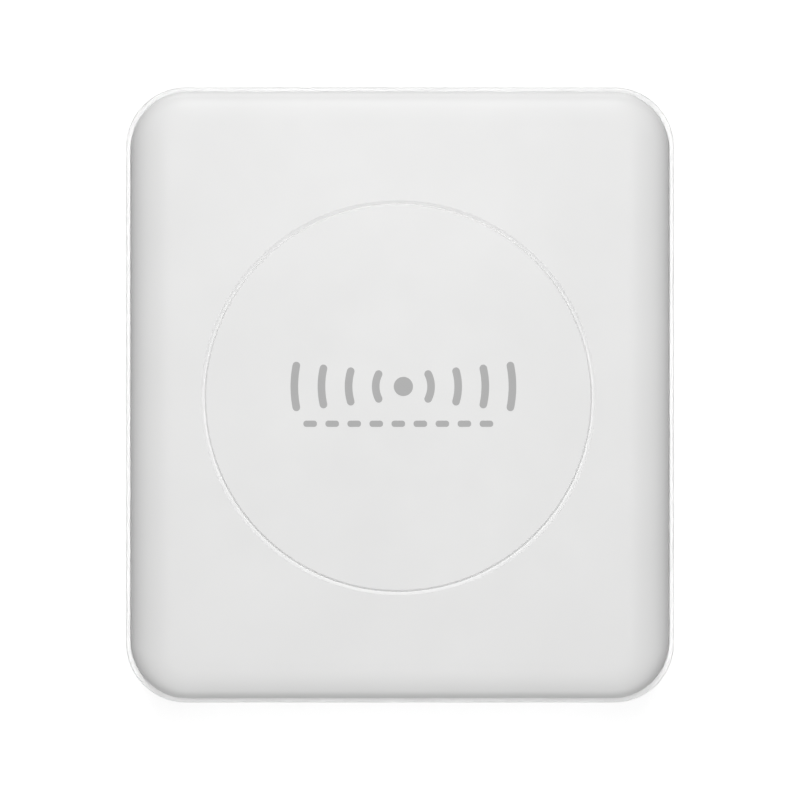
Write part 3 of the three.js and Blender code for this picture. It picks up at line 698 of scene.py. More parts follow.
def frame_rings():
    """The band's section: up its outside, over its rim, down to the ledge and down its inside."""
    bottom, rim = FRAME_LOW.z, FRAME_HIGH.z
    foot_round, rim_round = 0.5, 0.36
    lip_inset, lip_corner = COVER_INSET - SEAM_GAP, COVER_CORNER + SEAM_GAP
    rings = [case_ring(inset, bottom + foot_round - fall) for inset, fall in reversed(fillet(foot_round))]
    rings += [case_ring(inset, rim - rim_round + rise) for inset, rise in fillet(rim_round, 6)]
    for inset, fall in ((0.14, 0.0), (0.05, 0.03), (0.0, 0.1), (0.0, rim - LEDGE)):
        rings.append(case_ring(lip_inset - inset, rim - fall, lip_corner + inset))
    return [*rings, case_ring(WALL, LEDGE), case_ring(WALL, bottom)]


def mid_frame():
    jack, usb, reset = middle("network_jack"), middle("usb_c_shell"), middle("reset_plunger")
    cutters = [
        opening("+y", 6.4, 4.6, 0.4, (jack.x, 10.1), HALF_Y, 0.35),
        opening("+y", 4.92, 2.0, 1.99, (usb.x, usb.z), HALF_Y, 0.25),
        round_opening("+y", 0.6, (reset.x, reset.z), HALF_Y),
        opening("-x", SIM_HALF + 0.15, 1.35, 1.34, SIM_AT, HALF_X, 0.1),
    ]
    for name, half in BUTTONS.items():
        high = BUTTON_HALF_HEIGHT + 0.15
        at = (middle(f"{name}_button").y, BUTTON_Z)
        cutters.append(opening("+x", half + 0.15, high, high - 0.01, at, HALF_X, 0.12))
    cutters += [round_opening("-y", LIGHT_RADIUS + 0.1, (x, BUTTON_Z), HALF_Y) for x in LIGHT_XS]
    band = cut(loft(frame_rings(), closed=True), *cutters, *at_snaps(snap_slot))
    piece("mid_frame_band", band, "frame", "mid_frame")


# ---- bottom cover, feet and screws


def tray_rings():
    """The tray from the middle of its underside, up round its wall and tongue, to its floor."""
    rings = [case_ring(inset, UNDERSIDE + 3.4 - fall) for inset, fall in reversed(fillet(4, 12, 3.4))]
    rings += [case_ring(0, SEAM - 0.1), case_ring(0.1, SEAM)]
    for inset, z in ((2.1, SEAM), (2.1, 5.8), (2.2, 5.9), (3.0, 5.9), (3.1, 5.8), (3.1, FLOOR_TOP + 1.2)):
        rings.append(case_ring(inset, z))
    for fall, inwards in reversed(fillet(1.2, 4)):
        rings.append(case_ring(4.3 - inwards, FLOOR_TOP + fall))
    return rings


def bottom_cover():
    outer_x, outer_y = BAY["x"] + BAY["wall"], (BAY["front"] - BAY["wall"], BAY["back"] + BAY["wall"])
    bay = block((-outer_x, outer_x), outer_y, (FLOOR_TOP - 0.2, 12), 0.6)
    flange = block((-38.5, 38.5), (outer_y[0] - 2.2, outer_y[1] + 2.2), (FLOOR_TOP - 0.2, 3.6), 0.4)
    posts = [lathe([(0, 2.2), (3.2, 2.2), (3.2, 12.6), (3.0, 12.8), (0, 12.8)], 32, at) for at in SCREWS]
    jack = middle("network_jack")
    scoop = [(0, -1.9), (5.4, -1.9), (6.4, -1.75), (6.9, -1.4), (7.1, -1.0), (7.5, -0.79)]
    scoop += [(7.5, 0.2), (0, 0.2)]
    cutters = [
        block((-BAY["x"], BAY["x"]), (BAY["front"], BAY["back"]), (FLOOR_TOP - 1, BAY["top"]), 0.8),
        block((-8.3, 8.3), (13.6, 16), (BAY["top"] - 1, 13), 0.1),
        underside_opening(DOOR_HALF[0] + 0.15, DOOR_HALF[1] + 0.15, 4.15, DOOR_AT, 1.6, 0.18, 10),
        block((jack.x - JACK_NOTCH, jack.x + JACK_NOTCH), (40, HALF_Y - WALL - 0.1), (SEAM, 7), 0.05),
        facing("-z", lathe(scoop, 48, (0, DOOR_LOW.y))),
    ]
    for row in CLIP_ROWS:
        for xs in ((BAY["x"] - 0.1, 35.6), (-35.6, 0.1 - BAY["x"])):
            cutters.append(block(xs, (row - 3.5, row + 3.5), (FLOOR_TOP - 1, 4.9), 0.05))
    cutters += [underside_opening(0.8, 8, 0.799, (x, 34), 3) for x in VENT_XS]
    foot_x, foot_y = (half + 0.15 for half in FOOT_HALF)
    for i in (1, 2, 3, 4):
        cutters.append(underside_opening(foot_x, foot_y, 3.149, plan(f"foot_{i}")[0], 0.6, 0.1, 8))
    for at in SCREWS:
        cutters.append(underside_opening(2.25, 2.25, 2.249, at, 2.4, 0.25, 8))
        cutters.append(underside_opening(1.2, 1.2, 1.199, at, 14, 0.01, 5))
    solid = joined(loft(tray_rings()), bay, flange, *posts)
    piece("bottom_cover_tray", cut(solid, *cutters), "base", "bottom_cover")


def foot(number):
    name = f"foot_{number}"
    low, high = node_box(name)
    x, y = plan(name)[0]
    pad = prism(*FOOT_HALF, 2.99, low.z, high.z, (x, y), top=0.1, bottom=0.4, arcs=10)
    treads = [facing("-z", prism(2.1, 0.22, 0.21, -0.12, 0.5, (x, y + 1.5 * i))) for i in range(-4, 5)]
    piece(f"{name}_pad", cut(pad, *treads), "rubber", name)


def case_screw(number):
    """A pan-head screw: its head with a cross recess faces down, its rolled thread goes up."""
    name = f"case_screw_{number}"
    low, high = node_box(name)
    at = SCREWS[number - 1]
    seat = low.z + 1.2
    head = [(0, 0), (1.0, 0.03), (1.6, 0.2), (1.88, 0.5), (1.95, 0.8)]
    profile = [(radius, low.z + rise) for radius, rise in head]
    profile += [(1.95, seat), (0.75, seat + 0.02), (0.75, seat + 0.8)]
    pitch = 0.8
    turn = seat + 0.8
    while turn + pitch < high.z - 0.5:
        profile += [(0.9, turn + 0.4 * pitch), (0.7, turn + 0.8 * pitch)]
        turn += pitch
    profile += [(0.6, high.z - 0.2), (0, high.z)]
    wings = cross_recess(at, 1.05, 0.24, (low.z - 1, low.z + 0.65))
    pit = lathe([(0, low.z - 0.5), (0.62, low.z - 0.5), (0.5, low.z + 0.4), (0, low.z + 0.8)], 24, at)
    piece(f"{name}_pan_head", cut(lathe(profile, 32, at), *wings, pit), "steel", name)


# ---- battery door and battery


def battery_door():
    low, top = DOOR_LOW.z, DOOR_LOW.z + 1.4
    plate = prism(*DOOR_HALF, 4, low, top, DOOR_AT, top=0.15, bottom=0.25, arcs=12)
    clips = []
    for row in CLIP_ROWS:
        leg = block((row - 3, row + 3), (top - 0.6, DOOR_HIGH.z), (34.6, 35.2), 0.12)
        bead = prism(2.4, 0.2, 0.19, 35.0, 35.3, (row, DOOR_HIGH.z - 0.5), top=0.1)
        clips += [facing(side, shape) for side in ("+x", "-x") for shape in (leg, bead)]
    grips = [underside_opening(6 - 0.8 * i, 0.3, 0.299, (0, DOOR_LOW.y + 3 + 1.5 * i), 0.25, 0.12)
             for i in range(4)]
    made = cut(joined(plate, *clips), *grips)
    piece("battery_door_panel", made, "base", "battery_door", body="battery_door")


def battery():
    low, high = node_box("battery_pack")
    at, half = plan("battery_pack")
    body = prism(*half, 3, low.z, high.z, at, top=0.9, bottom=0.9, arcs=8)
    recess = block((-8.2, 8.2), (high.y - 0.8, high.y + 1), (4, 9.4), 0.2)
    half_z = (high.z - low.z) / 2
    around = [rounded(half[0] + grow, half_z + grow, 0.9 + grow, 6) for grow in (-0.15, 1)]
    seam = hoop(*around, high.y - 6, high.y - 5.75, (0, low.z + half_z))
    made = cut(body, recess, facing("+y", seam))
    piece("battery_wrapped_cell", made, "cell", "battery_pack", body="battery")

    low, high = node_box("battery_terminals")
    pads = [block((x - 1.5, x + 1.5), (high.y - 0.25, high.y), (4.9, 8.5), 0.08) for x in CONTACT_XS]
    piece("battery_terminal_pads", together(*pads), "gold", "battery_terminals", body="battery")
    carrier = block((low.x, high.x), (low.y, high.y - 0.2), (low.z, high.z), 0.1)
    piece("battery_terminal_carrier", carrier, "black", body="battery")


def label(node, body, corner):
    """A blank paper label with a printed hairline frame and two rules."""
    low, high = node_box(node)
    at, half = plan(node)
    sheet = prism(*half, corner, low.z + 0.02, high.z, at)
    piece(f"{node}_sheet", sheet, "label", node, body=body)
    printed = (low.z, low.z + 0.04)
    edges = [rounded(half[0] - inset, half[1] - inset, corner - inset / 2, 6) for inset in (1.8, 1.5)]
    rules = [prism(half[0] - 6, 0.12, 0.1, *printed, (at[0], at[1] + y)) for y in (-6, 6)]
    border = hoop(*edges, *printed, at)
    piece(f"{node}_print", together(border, *rules), "mark", body=body, slot="label")


def battery_contacts():
    low, high = node_box("battery_contacts")
    base = block((low.x, high.x), (13.9, high.y), (low.z, high.z))
    slots = [block((x - 0.8, x + 0.8), (13, 14.6), (4.8, 8.8), 0.1) for x in CONTACT_XS]
    piece("battery_contact_block", cut(base, *slots), "black", "battery_contacts")
    path = [(14.5, 8.6), (13.9, 8.2), (13.35, 7.4), (13.1, 6.7), (13.35, 6.0), (14.0, 5.2), (14.5, 5.0)]
    blades = [bent_strip(x, path, 0.6, 0.18) for x in CONTACT_XS]
    piece("battery_contact_blades", together(*blades), "gold")


# ---- buttons, switches and lights


def side_button(name, strokes):
    """A cap with rounded edges, its flange behind the wall, its stem, and a printed sign."""
    body, plunger = f"{name}_button", f"{name}_switch_plunger"
    half = BUTTONS[name]
    at = (middle(body).y, BUTTON_Z)
    inner, face = HALF_X - WALL, HALF_X - INK
    cap = prism(half, BUTTON_HALF_HEIGHT, 1.59, inner - 0.6, face, at, top=0.22, arcs=10)
    flange = slab(at, (half + 1.2, 2), (inner - 1.1, inner - 0.3))
    stem = slab(at, (1.5, 1), (node_box(body)[0].x, inner - 0.8))
    made = joined(*[facing("+x", shape) for shape in (cap, flange, stem)])
    piece(f"{name}_button_cap", made, "button", body, body=body)
    sign = together(*[facing("+x", stroke) for stroke in strokes(at, face - 0.02, HALF_X - 0.005)])
    piece(f"{name}_button_sign", sign, "mark", body=body, slot="button")
    piece(f"{name}_plunger_tip", node_block(plunger), "black", plunger, body=body)


def power_strokes(at, low, high):
    ring = arc_bar(0.62, math.radians(140), 0.2, low, high, at, -math.pi / 2)
    return [ring, prism(0.1, 0.4, 0.09, low, high, (at[0], at[1] + 0.5))]


def pairing_strokes(at, low, high):
    arcs = [arc_bar(radius, math.radians(42), 0.18, low, high, at, turned)
            for radius in (0.5, 0.95) for turned in (0, math.pi)]
    return [prism(0.17, 0.17, 0.16, low, high, at), *arcs]


def tact_switch(name, cavity):
    """A side switch: a metal body with the plunger's opening, and four pins up to the board."""
    low, high = node_box(name)
    piece(f"{name}_body", cut(node_block(name, 0.12), cavity), "steel", name)
    pins = [slab((x, y), (0.3, 0.3), (high.z - 0.4, high.z + 0.15), 0.05)
            for x in (low.x - 0.2, high.x + 0.2) for y in (low.y + 0.7, high.y - 0.7)]
    piece(f"{name}_pins", together(*pins), "gold")


def button_switch(name):
    y = middle(name).y
    tact_switch(name, block((41.2, 44), (y - 1.5, y + 1.5), (BUTTON_Z - 1, BUTTON_Z + 1), 0.1))


def reset_button():
    """The switch behind the pinhole, and its round plunger."""
    at = (middle("reset_plunger").x, middle("reset_plunger").z)
    low, high = node_box("reset_plunger")
    tact_switch("reset_switch", facing("+y", prism(1.1, 1.1, 1.09, 49.8, 53, at)))
    tip = facing("+y", prism(0.9, 0.9, 0.899, low.y, high.y, at, top=0.2, arcs=8))
    piece("reset_plunger_tip", tip, "black", "reset_plunger", body="reset_button")


def light_pipe(x):
    radius, inner = LIGHT_RADIUS, HALF_Y - WALL - 0.6
    return facing("-y", prism(radius, radius, radius - 0.001, inner, HALF_Y, (x, BUTTON_Z), 0.3, arcs=8))


def status_lights():
    low, high = node_box("light_guide")
    bar = block((low.x, high.x), (high.y - 1.2, high.y), (low.z, high.z), 0.25)
    piece("light_pipes", joined(bar, *map(light_pipe, LIGHT_XS)), "clear", "light_guide")
    for i, x in enumerate(LIGHT_XS, 1):
        name = f"status_light_{i}"
        low, high = node_box(name)
        package = block((low.x, high.x), (low.y + 0.15, high.y), (low.z, high.z), 0.12)
        piece(f"{name}_package", package, "card", name, slot="lamp")
        lens = facing("-y", prism(1.0, 0.5, 0.3, -high.y, -low.y, (x, middle(name).z), top=0.1))
        piece(f"{name}_lens", lens, "lamp")


# ---- SIM tray, card and socket


def sim_tray():
    y, z = SIM_AT
    face = facing("-x", prism(SIM_HALF, 1.2, 1.19, 47.0, HALF_X, (y, z), top=0.1, arcs=10))
    blade = block((-47.3, node_box("sim_tray")[1].x), (y - 5.6, y + 5.6), (10.95, 12.1), 0.25)
    low, high = node_box("sim_card")
    pocket = block((low.x - 0.15, high.x + 0.15), (y - 4.55, y + 4.55), (11.35, 13), 0.4)
    window = block((low.x + 1.2, high.x - 1.2), (y - 3.6, y + 3.6), (10, 13), 0.6)
    pin_hole = opening("-x", 0.42, 0.42, 0.41, (y - 5.0, z), HALF_X, 0.12, HALF_X - 46, arcs=8)
    made = cut(joined(face, blade), pocket, window, pin_hole)
    piece("sim_tray_drawer", made, "button", "sim_tray", body="sim_tray")


def sim_card():
    low, high = node_box("sim_card")
    clipped, soft = 1.6, 0.5
    corners = [(low.x, low.y), (high.x - clipped, low.y), (high.x, low.y + clipped)]
    corners += [(high.x, high.y), (low.x, high.y)]
    outline = []
    for i, corner in enumerate(corners):
        here = Vector(corner)
        before = (Vector(corners[i - 1]) - here).normalized() * soft
        after = (Vector(corners[(i + 1) % 5]) - here).normalized() * soft
        outline += [tuple(here + before * (1 - t) ** 2 + after * t**2) for t in (0, 0.25, 0.5, 0.75, 1)]
    body = loft([flat_ring(outline, low.z + 0.04), flat_ring(outline, high.z)])
    piece("sim_card_body", body, "card", "sim_card", body="sim_tray")
    x, y = plan("sim_card")[0]
    pads = [slab((x + dx, y + dy), (1.15, 1.1), (low.z, low.z + 0.1), 0.03)
            for dx in (-2.5, 0, 2.5) for dy in (-2.4, 0, 2.4)]
    piece("sim_card_contacts", together(*pads), "gold", body="sim_tray")


def sim_socket():
    low, high = node_box("sim_socket")
    slot = block((low.x - 1, high.x - 0.5), (low.y + 0.3, high.y - 0.3), (low.z + 0.2, high.z - 0.3), 0.1)
    windows = [slab((x, SIM_AT[0]), (1.2, 3.5), (high.z - 0.6, high.z + 1), 0.3) for x in (-41, -35)]
    piece("sim_socket_cage", cut(node_block("sim_socket", 0.2), slot, *windows), "steel", "sim_socket")


# ---- network and USB-C sockets


def network_jack():
    low, high = node_box("network_jack")
    x, back = middle("network_jack").x, low.y
    deep = high.y - back - 1.2
    mouths = [
        opening("+y", 5.95, 3.4, 0.15, (x, 11.0), high.y, 0.2, deep),
        opening("+y", 3.1, 0.9, 0.15, (x, 7.2), high.y, 0.15, deep),
        opening("+y", 1.8, 0.9, 0.15, (x, 6.2), high.y, 0.15, deep),
    ]
    piece("network_jack_body", cut(node_block("network_jack", 0.25), *mouths), "black", "network_jack")
    bends = [(2, 14.0), (6, 13.75), (10, 12.95), (11, 12.72), (11.4, 13.0)]
    path = [(back + along, z) for along, z in bends]
    wires = [bent_strip(x + 1.02 * (i - 3.5), path, 0.2, 0.25) for i in range(8)]
    piece("network_jack_wires", together(*wires), "gold", "network_jack_contacts")
    comb = block((x - 4.6, x + 4.6), (back + 1.4, back + 3), (13.2, 14.2), 0.1)
    piece("network_jack_comb", comb, "black")


def usb_c_socket():
    low, high = node_box("usb_c_shell")
    at = (middle("usb_c_shell").x, middle("usb_c_shell").z)
    half_u, half_v = (high.x - low.x) / 2, (high.z - low.z) / 2
    sheet = 0.3
    tube = prism(half_u, half_v, half_v - 0.001, low.y, high.y, at, top=0.12, bottom=0.2, arcs=12)
    inner_u, inner_v = half_u - sheet, half_v - sheet
    deep = high.y - low.y - 0.8
    bore = opening("+y", inner_u, inner_v, inner_v - 0.001, at, high.y, 0.12, deep, arcs=12)
    piece("usb_c_steel_shell", cut(facing("+y", tube), bore), "steel", "usb_c_shell")
    low, high = node_box("usb_c_tongue")
    tongue = facing("+y", prism(3.35, 0.35, 0.2, low.y, high.y, at, top=0.15, arcs=4))
    piece("usb_c_tongue_blade", tongue, "black", "usb_c_tongue")
    pads = []
    for i in range(12):
        x = at[0] + 0.5 * (i - 5.5)
        for side in (-1, 1):
            z = at[1] + 0.36 * side
            pads.append(block((x - 0.13, x + 0.13), (low.y + 1, high.y - 0.5), (z - 0.03, z + 0.03), 0.01))
    piece("usb_c_contact_pads", together(*pads), "gold")


# ---- the board and what stands on it

LEAD_NOTCHES = [
    ((-47, -43.6), (-1.6, 1.6)),
    ((-29.6, -26.4), (-53, -48.8)),
    ((26.4, 29.6), (-53, -48.8)),
    ((27.4, 30.6), (48.8, 53)),
]
CHIPS = {
    "memory_chip": ((-25, -22), (3.4, 5.5)),
    "power_chip": ((20.8, -24), (1.5, 2.2)),
    "radio_chip": ((34.5, 0.5), (2.8, 3.4)),
    "storage_chip": ((8, 45.5), (4.5, 2.2)),
}
PART_ROWS = [  # rows of small parts: the first one's place, the step to the next, and how many
    ((-31, -12), (0, -1.5), 6), ((-19.2, -14), (0, -1.6), 9), ((-27, -33), (1.9, 0), 4),
    ((19, -14), (0, -1.5), 4), ((19, -31), (0, -1.5), 6), ((23.9, -16), (0, -1.9), 8),
    ((31.5, -8), (1.9, 0), 4), ((31.5, 9), (1.9, 0), 4), ((31.2, 13), (0, 1.6), 4),
    ((-2, 42), (1.9, 0), 8), ((-2, 49), (1.9, 0), 8), ((-38, -30), (0, -1.7), 7),
    ((-41, -36), (0, -1.7), 5), ((34, 30), (0, 1.7), 5), ((-44, 12), (0, 1.8), 4),
]


def solder_ring(inner, low, high, at):
    return hoop(circle(inner, 32), circle(2.5, 32), low, high, at)


def main_board():
    bottom, top = BOARD_LOW.z, BOARD_HIGH.z
    plate = prism(BOARD_HIGH.x, BOARD_HIGH.y, 8, bottom, top, top=0.06, bottom=0.06, arcs=14)
    jack = middle("network_jack").x
    gaps = [((jack - JACK_NOTCH, jack + JACK_NOTCH), (39.3, BOARD_HIGH.y + 1)), *LEAD_NOTCHES]
    cutters = [block(xs, ys, (bottom - 1, top + 1), 0.3) for xs, ys in gaps]
    cutters += [rod(1.2, bottom - 1, top + 1, at) for at in SCREWS]
    piece("main_board_laminate", cut(plate, *cutters), "board", "main_board")
    pads = [solder_ring(1.35, z, z + 0.03, at) for at in SCREWS for z in (bottom - 0.03, top)]
    piece("main_board_hole_pads", together(*pads), "gold")


def board_chips():
    """Moulded chips with a dimple at the first pin, and bright legs along their two sides."""
    legs = []
    for name, ((x, y), (half_x, half_y)) in CHIPS.items():
        high = BOARD_HIGH.z + 0.95
        body = prism(half_x, half_y, 0.25, BOARD_HIGH.z + 0.1, high, (x, y), top=0.12, arcs=3)
        first_pin = dimple(0.3, 0.06, high, (x - half_x + 0.9, y + half_y - 0.9), 20)
        piece(name, cut(body, first_pin), "chip")
        for along in spread(2 * (half_y - 0.4), 0.65):
            for out in (-half_x - 0.2, half_x + 0.2):
                legs.append(slab((x + out, y + along), (0.35, 0.12), (ON_BOARD, ON_BOARD + 0.18), 0.04, 1))
    piece("chip_legs", together(*legs), "steel")


def small_parts():
    """Rows of small ceramic parts on the board, each a body between two tinned ends."""
    bodies, ends = [], []
    for (x0, y0), (dx, dy), count in PART_ROWS:
        for i in range(count):
            x, y = x0 + i * dx, y0 + i * dy
            bodies.append(slab((x, y), (0.36, 0.28), (ON_BOARD, ON_BOARD + 0.42), 0.05, 1))
            for end in (x - 0.46, x + 0.46):
                ends.append(slab((end, y), (0.16, 0.31), (ON_BOARD, ON_BOARD + 0.46), 0.06, 1))
    piece("small_part_bodies", together(*bodies), "ceramic", slot="chip")
    piece("small_part_ends", together(*ends), "steel")


def processor():
    low, high = node_box("processor")
    at, (half, _) = plan("processor")
    carrier = prism(half, half, 0.3, low.z, low.z + 0.5, at, arcs=3)
    cap = prism(half - 0.35, half - 0.35, 0.4, low.z + 0.4, high.z, at, top=0.15, arcs=3)
    first_pin = dimple(0.5, 0.08, high.z, (at[0] - half + 1.6, at[1] + half - 1.6))
    piece("processor_cap", cut(cap, first_pin), "chip", "processor")
    piece("processor_carrier", carrier, "board")


def shield_can(name):
    """A pressed can with gaps along the foot of its walls and round vents along its top."""
    low, high = node_box(name)
    at, half = plan(name)
    outside = prism(*half, 0.8, low.z, high.z, at, top=0.4)
    inside = prism(half[0] - 0.3, half[1] - 0.3, 0.5, low.z - 1, high.z - 0.3, at, top=0.15)
    gaps = []
    for axis in (0, 1):
        for along in spread(2 * half[axis] - 4, 3):
            centre, reach = list(at), [half[0] + 1, half[1] + 1]
            centre[axis] += along
            reach[axis] = 0.6
            gaps.append(slab(centre, reach, (low.z - 1, low.z + 0.35), 0.05, 1))
    vents = [rod(0.5, high.z - 1, high.z + 1, (at[0] + along, at[1] + side * (half[1] - 1.6)), 20)
             for along in spread(2 * half[0] - 5, 2.5) for side in (-1, 1)]
    piece(f"{name}_can", cut(outside, inside, *gaps, *vents), "steel", name)


def thermal_pad(name):
    low, high = node_box(name)
    at, half = plan(name)
    piece(f"{name}_cushion", prism(*half, 0.8, low.z, high.z, at, top=0.2, bottom=0.2), "pad", name)


def modem_card():
    at, half = plan("modem_card")
    low, high = CARD_LOW.z, CARD_HIGH.z
    right = CARD_HIGH.x
    card = prism(*half, 0.5, low + 0.02, high - 0.02, at, top=0.05, bottom=0.05, arcs=4)
    bore = rod(1.3, low - 1, high + 1, MODEM_SCREW, 32)
    key = block((right - 4, right + 1), (at[1] - 8.2, at[1] - 7), (low - 1, high + 1), 0.3)
    piece("modem_card_laminate", cut(card, bore, key), "board", "modem_card")
    gold = []
    for y in (CARD_LOW.y + 2.6 + i for i in range(26)):
        if abs(y - at[1] + 7.6) > 1:
            for z in (low, high - 0.03):
                gold.append(block((right - 3, right - 0.1), (y - 0.32, y + 0.32), (z, z + 0.03), 0.01, 1))
    gold.append(solder_ring(1.4, high - 0.03, high, MODEM_SCREW))
    piece("modem_card_fingers", together(*gold), "gold")


def modem_socket():
    low, high = node_box("modem_socket")
    y = middle("modem_socket").y
    card_slot = (CARD_LOW.z - 0.2, CARD_HIGH.z + 0.2)
    slot = block((low.x - 1, CARD_HIGH.x + 0.5), (low.y - 1, high.y + 1), card_slot, 0.1)
    wells = [slab((high.x - 2.5, well), (1.9, 4.4), (high.z - 0.8, high.z + 1), 0.25)
             for well in (y - 5.4, y + 5.4)]
    piece("modem_socket_body", cut(node_block("modem_socket", 0.3), slot, *wells), "black", "modem_socket")
    tails = [slab((high.x + 0.3, low.y + 1.5 + i), (0.4, 0.18), (low.z + 0.02, low.z + 0.24), 0.05, 1)
             for i in range(20)]
    piece("modem_socket_tails", together(*tails), "gold")


def modem_fixing():
    """The six-sided nut under the modem card, and the screw that holds the card on it."""
    low, high = node_box("modem_standoff")
    sides = [(0, low.z), (1.9, low.z), (2.2, low.z + 0.2), (2.2, high.z - 0.2), (1.9, high.z), (0, high.z)]
    bore = rod(0.95, low.z + 0.5, high.z + 1, MODEM_SCREW)
    piece("modem_standoff_nut", cut(lathe(sides, 6, MODEM_SCREW), bore), "gold", "modem_standoff")
    low, high = node_box("modem_screw")
    seat, rim = CARD_HIGH.z + 0.05, CARD_HIGH.z + 0.35
    head = [(0.9, seat), (1.9, seat), (1.9, rim), (1.75, rim + 0.27), (1.3, rim + 0.42), (0.6, high.z)]
    wings = cross_recess(MODEM_SCREW, 0.95, 0.2, (rim, 19))
    screw = lathe([(0, low.z), (0.9, low.z), *head, (0, high.z)], 32, MODEM_SCREW)
    piece("modem_screw_pan_head", cut(screw, *wings), "steel", "modem_screw")


def heat_spreader():
    """A plate with a pan pressed down to the processor, holes for the pegs, and stiffening grooves."""
    low, high = node_box("heat_spreader")
    at, half = plan("heat_spreader")
    sheet = 0.8
    plate_low = high.z - sheet
    pan_at, pan_half = plan("processor")[0], 13
    inner = pan_half - sheet
    plate = prism(*half, 3, plate_low, high.z, at, top=0.12, bottom=0.12, arcs=10)
    pan = prism(pan_half, pan_half, 2, low.z, plate_low + 0.3, pan_at, bottom=0.6, arcs=8)
    hollow = prism(inner, inner, 1.2, low.z + sheet, high.z, pan_at, top=0.4, arcs=8, flare=True)
    hole = [(0, 18), (1.45, 18), (1.45, high.z - 0.1), (1.6, high.z + 0.05), (0, high.z + 1)]
    holes = [lathe(hole, 28, peg) for peg in PEGS]
    grooved = (high.z - 0.25, high.z + 1)
    grooves = [prism(0.7, 24, 0.69, *grooved, (x, at[1])) for x in (-26, -21, 21, 26)]
    grooves += [prism(3.4, 0.7, 0.69, *grooved, (x, 26)) for x in (-10, 0, 10)]
    made = cut(joined(plate, pan), hollow, *holes, *grooves)
    piece("heat_spreader_plate", made, "aluminium", "heat_spreader")


def network_transformer():
    low, high = node_box("network_transformer")
    (x, y), (half_x, half_y) = plan("network_transformer")
    half_y -= 1.0
    body = prism(half_x, half_y, 0.4, low.z, high.z - 0.15, (x, y), top=0.3, bottom=0.3)
    first_pin = facing("-z", dimple(0.5, 0.1, -low.z, (low.x + 1.5, y - half_y + 1.5)))
    piece("network_transformer_body", cut(body, first_pin), "chip", "network_transformer")
    bend = [(-0.3, 11.2), (0.25, 11.2), (0.4, 11.5), (0.45, 12.3), (0.6, 12.6), (0.95, 12.62)]
    pins = []
    for i in range(12):
        for side in (-1, 1):
            path = [(y + side * (half_y + out), z) for out, z in bend]
            pins.append(bent_strip(x + (i - 5.5) * 1.16, path, 0.2, 0.14))
    piece("network_transformer_pins", together(*pins), "steel")


# ---- aerials and their leads

LEAD_RADIUS = 0.56
PLUG_Z = CARD_HIGH.z + 0.85  # middle of a lead where it leaves its plug
OVER_CARD = 17.6
ALONG_BOARD = 14.9
LEAD_ROUTES = [
    [(-27.6, 23, PLUG_Z), (-31.6, 22, OVER_CARD), (-37, 16, 15), (-42, 6, ALONG_BOARD), (-44.9, 0.6, 14),
     (-45.2, 0, 12), (-46.1, 0, 9)],
    [(-27.6, 11, PLUG_Z), (-31.8, 9, OVER_CARD), (-34.5, 0, 15.2), (-34.5, -34, ALONG_BOARD),
     (-29.4, -47, ALONG_BOARD), (-28, -50.6, 14), (-28, -51.2, 12), (-28, -52.1, 9)],
    [(-27.6, 5, PLUG_Z), (-31.4, 2, OVER_CARD), (-29, -4, 15.2), (-18, -5, ALONG_BOARD),
     (18, -5, ALONG_BOARD), (25.5, -14, ALONG_BOARD), (25.5, -36, ALONG_BOARD), (27.6, -47, ALONG_BOARD),
     (28, -50.6, 14), (28, -51.2, 12), (28, -52.1, 9)],
    [(-27.6, 29, PLUG_Z), (-31.4, 31.6, OVER_CARD), (-28, 36, 15.2), (-14, 37, ALONG_BOARD),
     (12, 37, ALONG_BOARD), (24, 40, ALONG_BOARD), (28.6, 47, ALONG_BOARD), (29, 50.6, 14), (29, 51.2, 12),
     (29, 52.1, 9)],
]


def aerial_lead(number, route):
    """A thin coaxial lead with its gold snap-on plug on the modem card."""
    name = f"aerial_lead_{number}"
    line = curved([Vector(point) for point in route], 8)
    piece(f"{name}_jacket", swept(line, circle(LEAD_RADIUS - 0.04, 12)), "lead", name)
    steps = [(0, 0), (1.0, 0), (1.2, 0.15), (1.2, 0.65), (1.05, 0.8), (1.05, 0.95), (0.85, 1.1), (0, 1.1)]
    plug = lathe([(radius, CARD_HIGH.z + 0.05 + rise) for radius, rise in steps], 32, route[0][:2])
    crimp = swept(line[:4], circle(LEAD_RADIUS + 0.05, 12))
    piece(f"{name}_plug", joined(plug, crimp), "gold")


def wifi_aerial(number):
    """A folded sheet aerial on two legs, with a slot that sets its length."""
    name = f"wifi_aerial_{number}"
    low, high = node_box(name)
    x = middle(name).x
    ends = {"top": 0.08, "bottom": 0.08}
    strip_z, leg_z = high.z - 0.8, low.z + 1.75
    strip = prism(6, 0.8, 0.25, low.y, high.y, (x, strip_z), **ends, arcs=4)
    legs = [prism(0.5, 1.75, 0.12, low.y, high.y, (x + dx, leg_z), **ends, arcs=2) for dx in (-5.5, -2.5)]
    slot = facing("+y", prism(3.6, 0.22, 0.21, low.y - 1, high.y + 1, (x + 1.4, strip_z)))
    solid = joined(*[facing("+y", shape) for shape in (strip, *legs)])
    piece(f"{name}_sheet", cut(solid, slot), "gold", name)


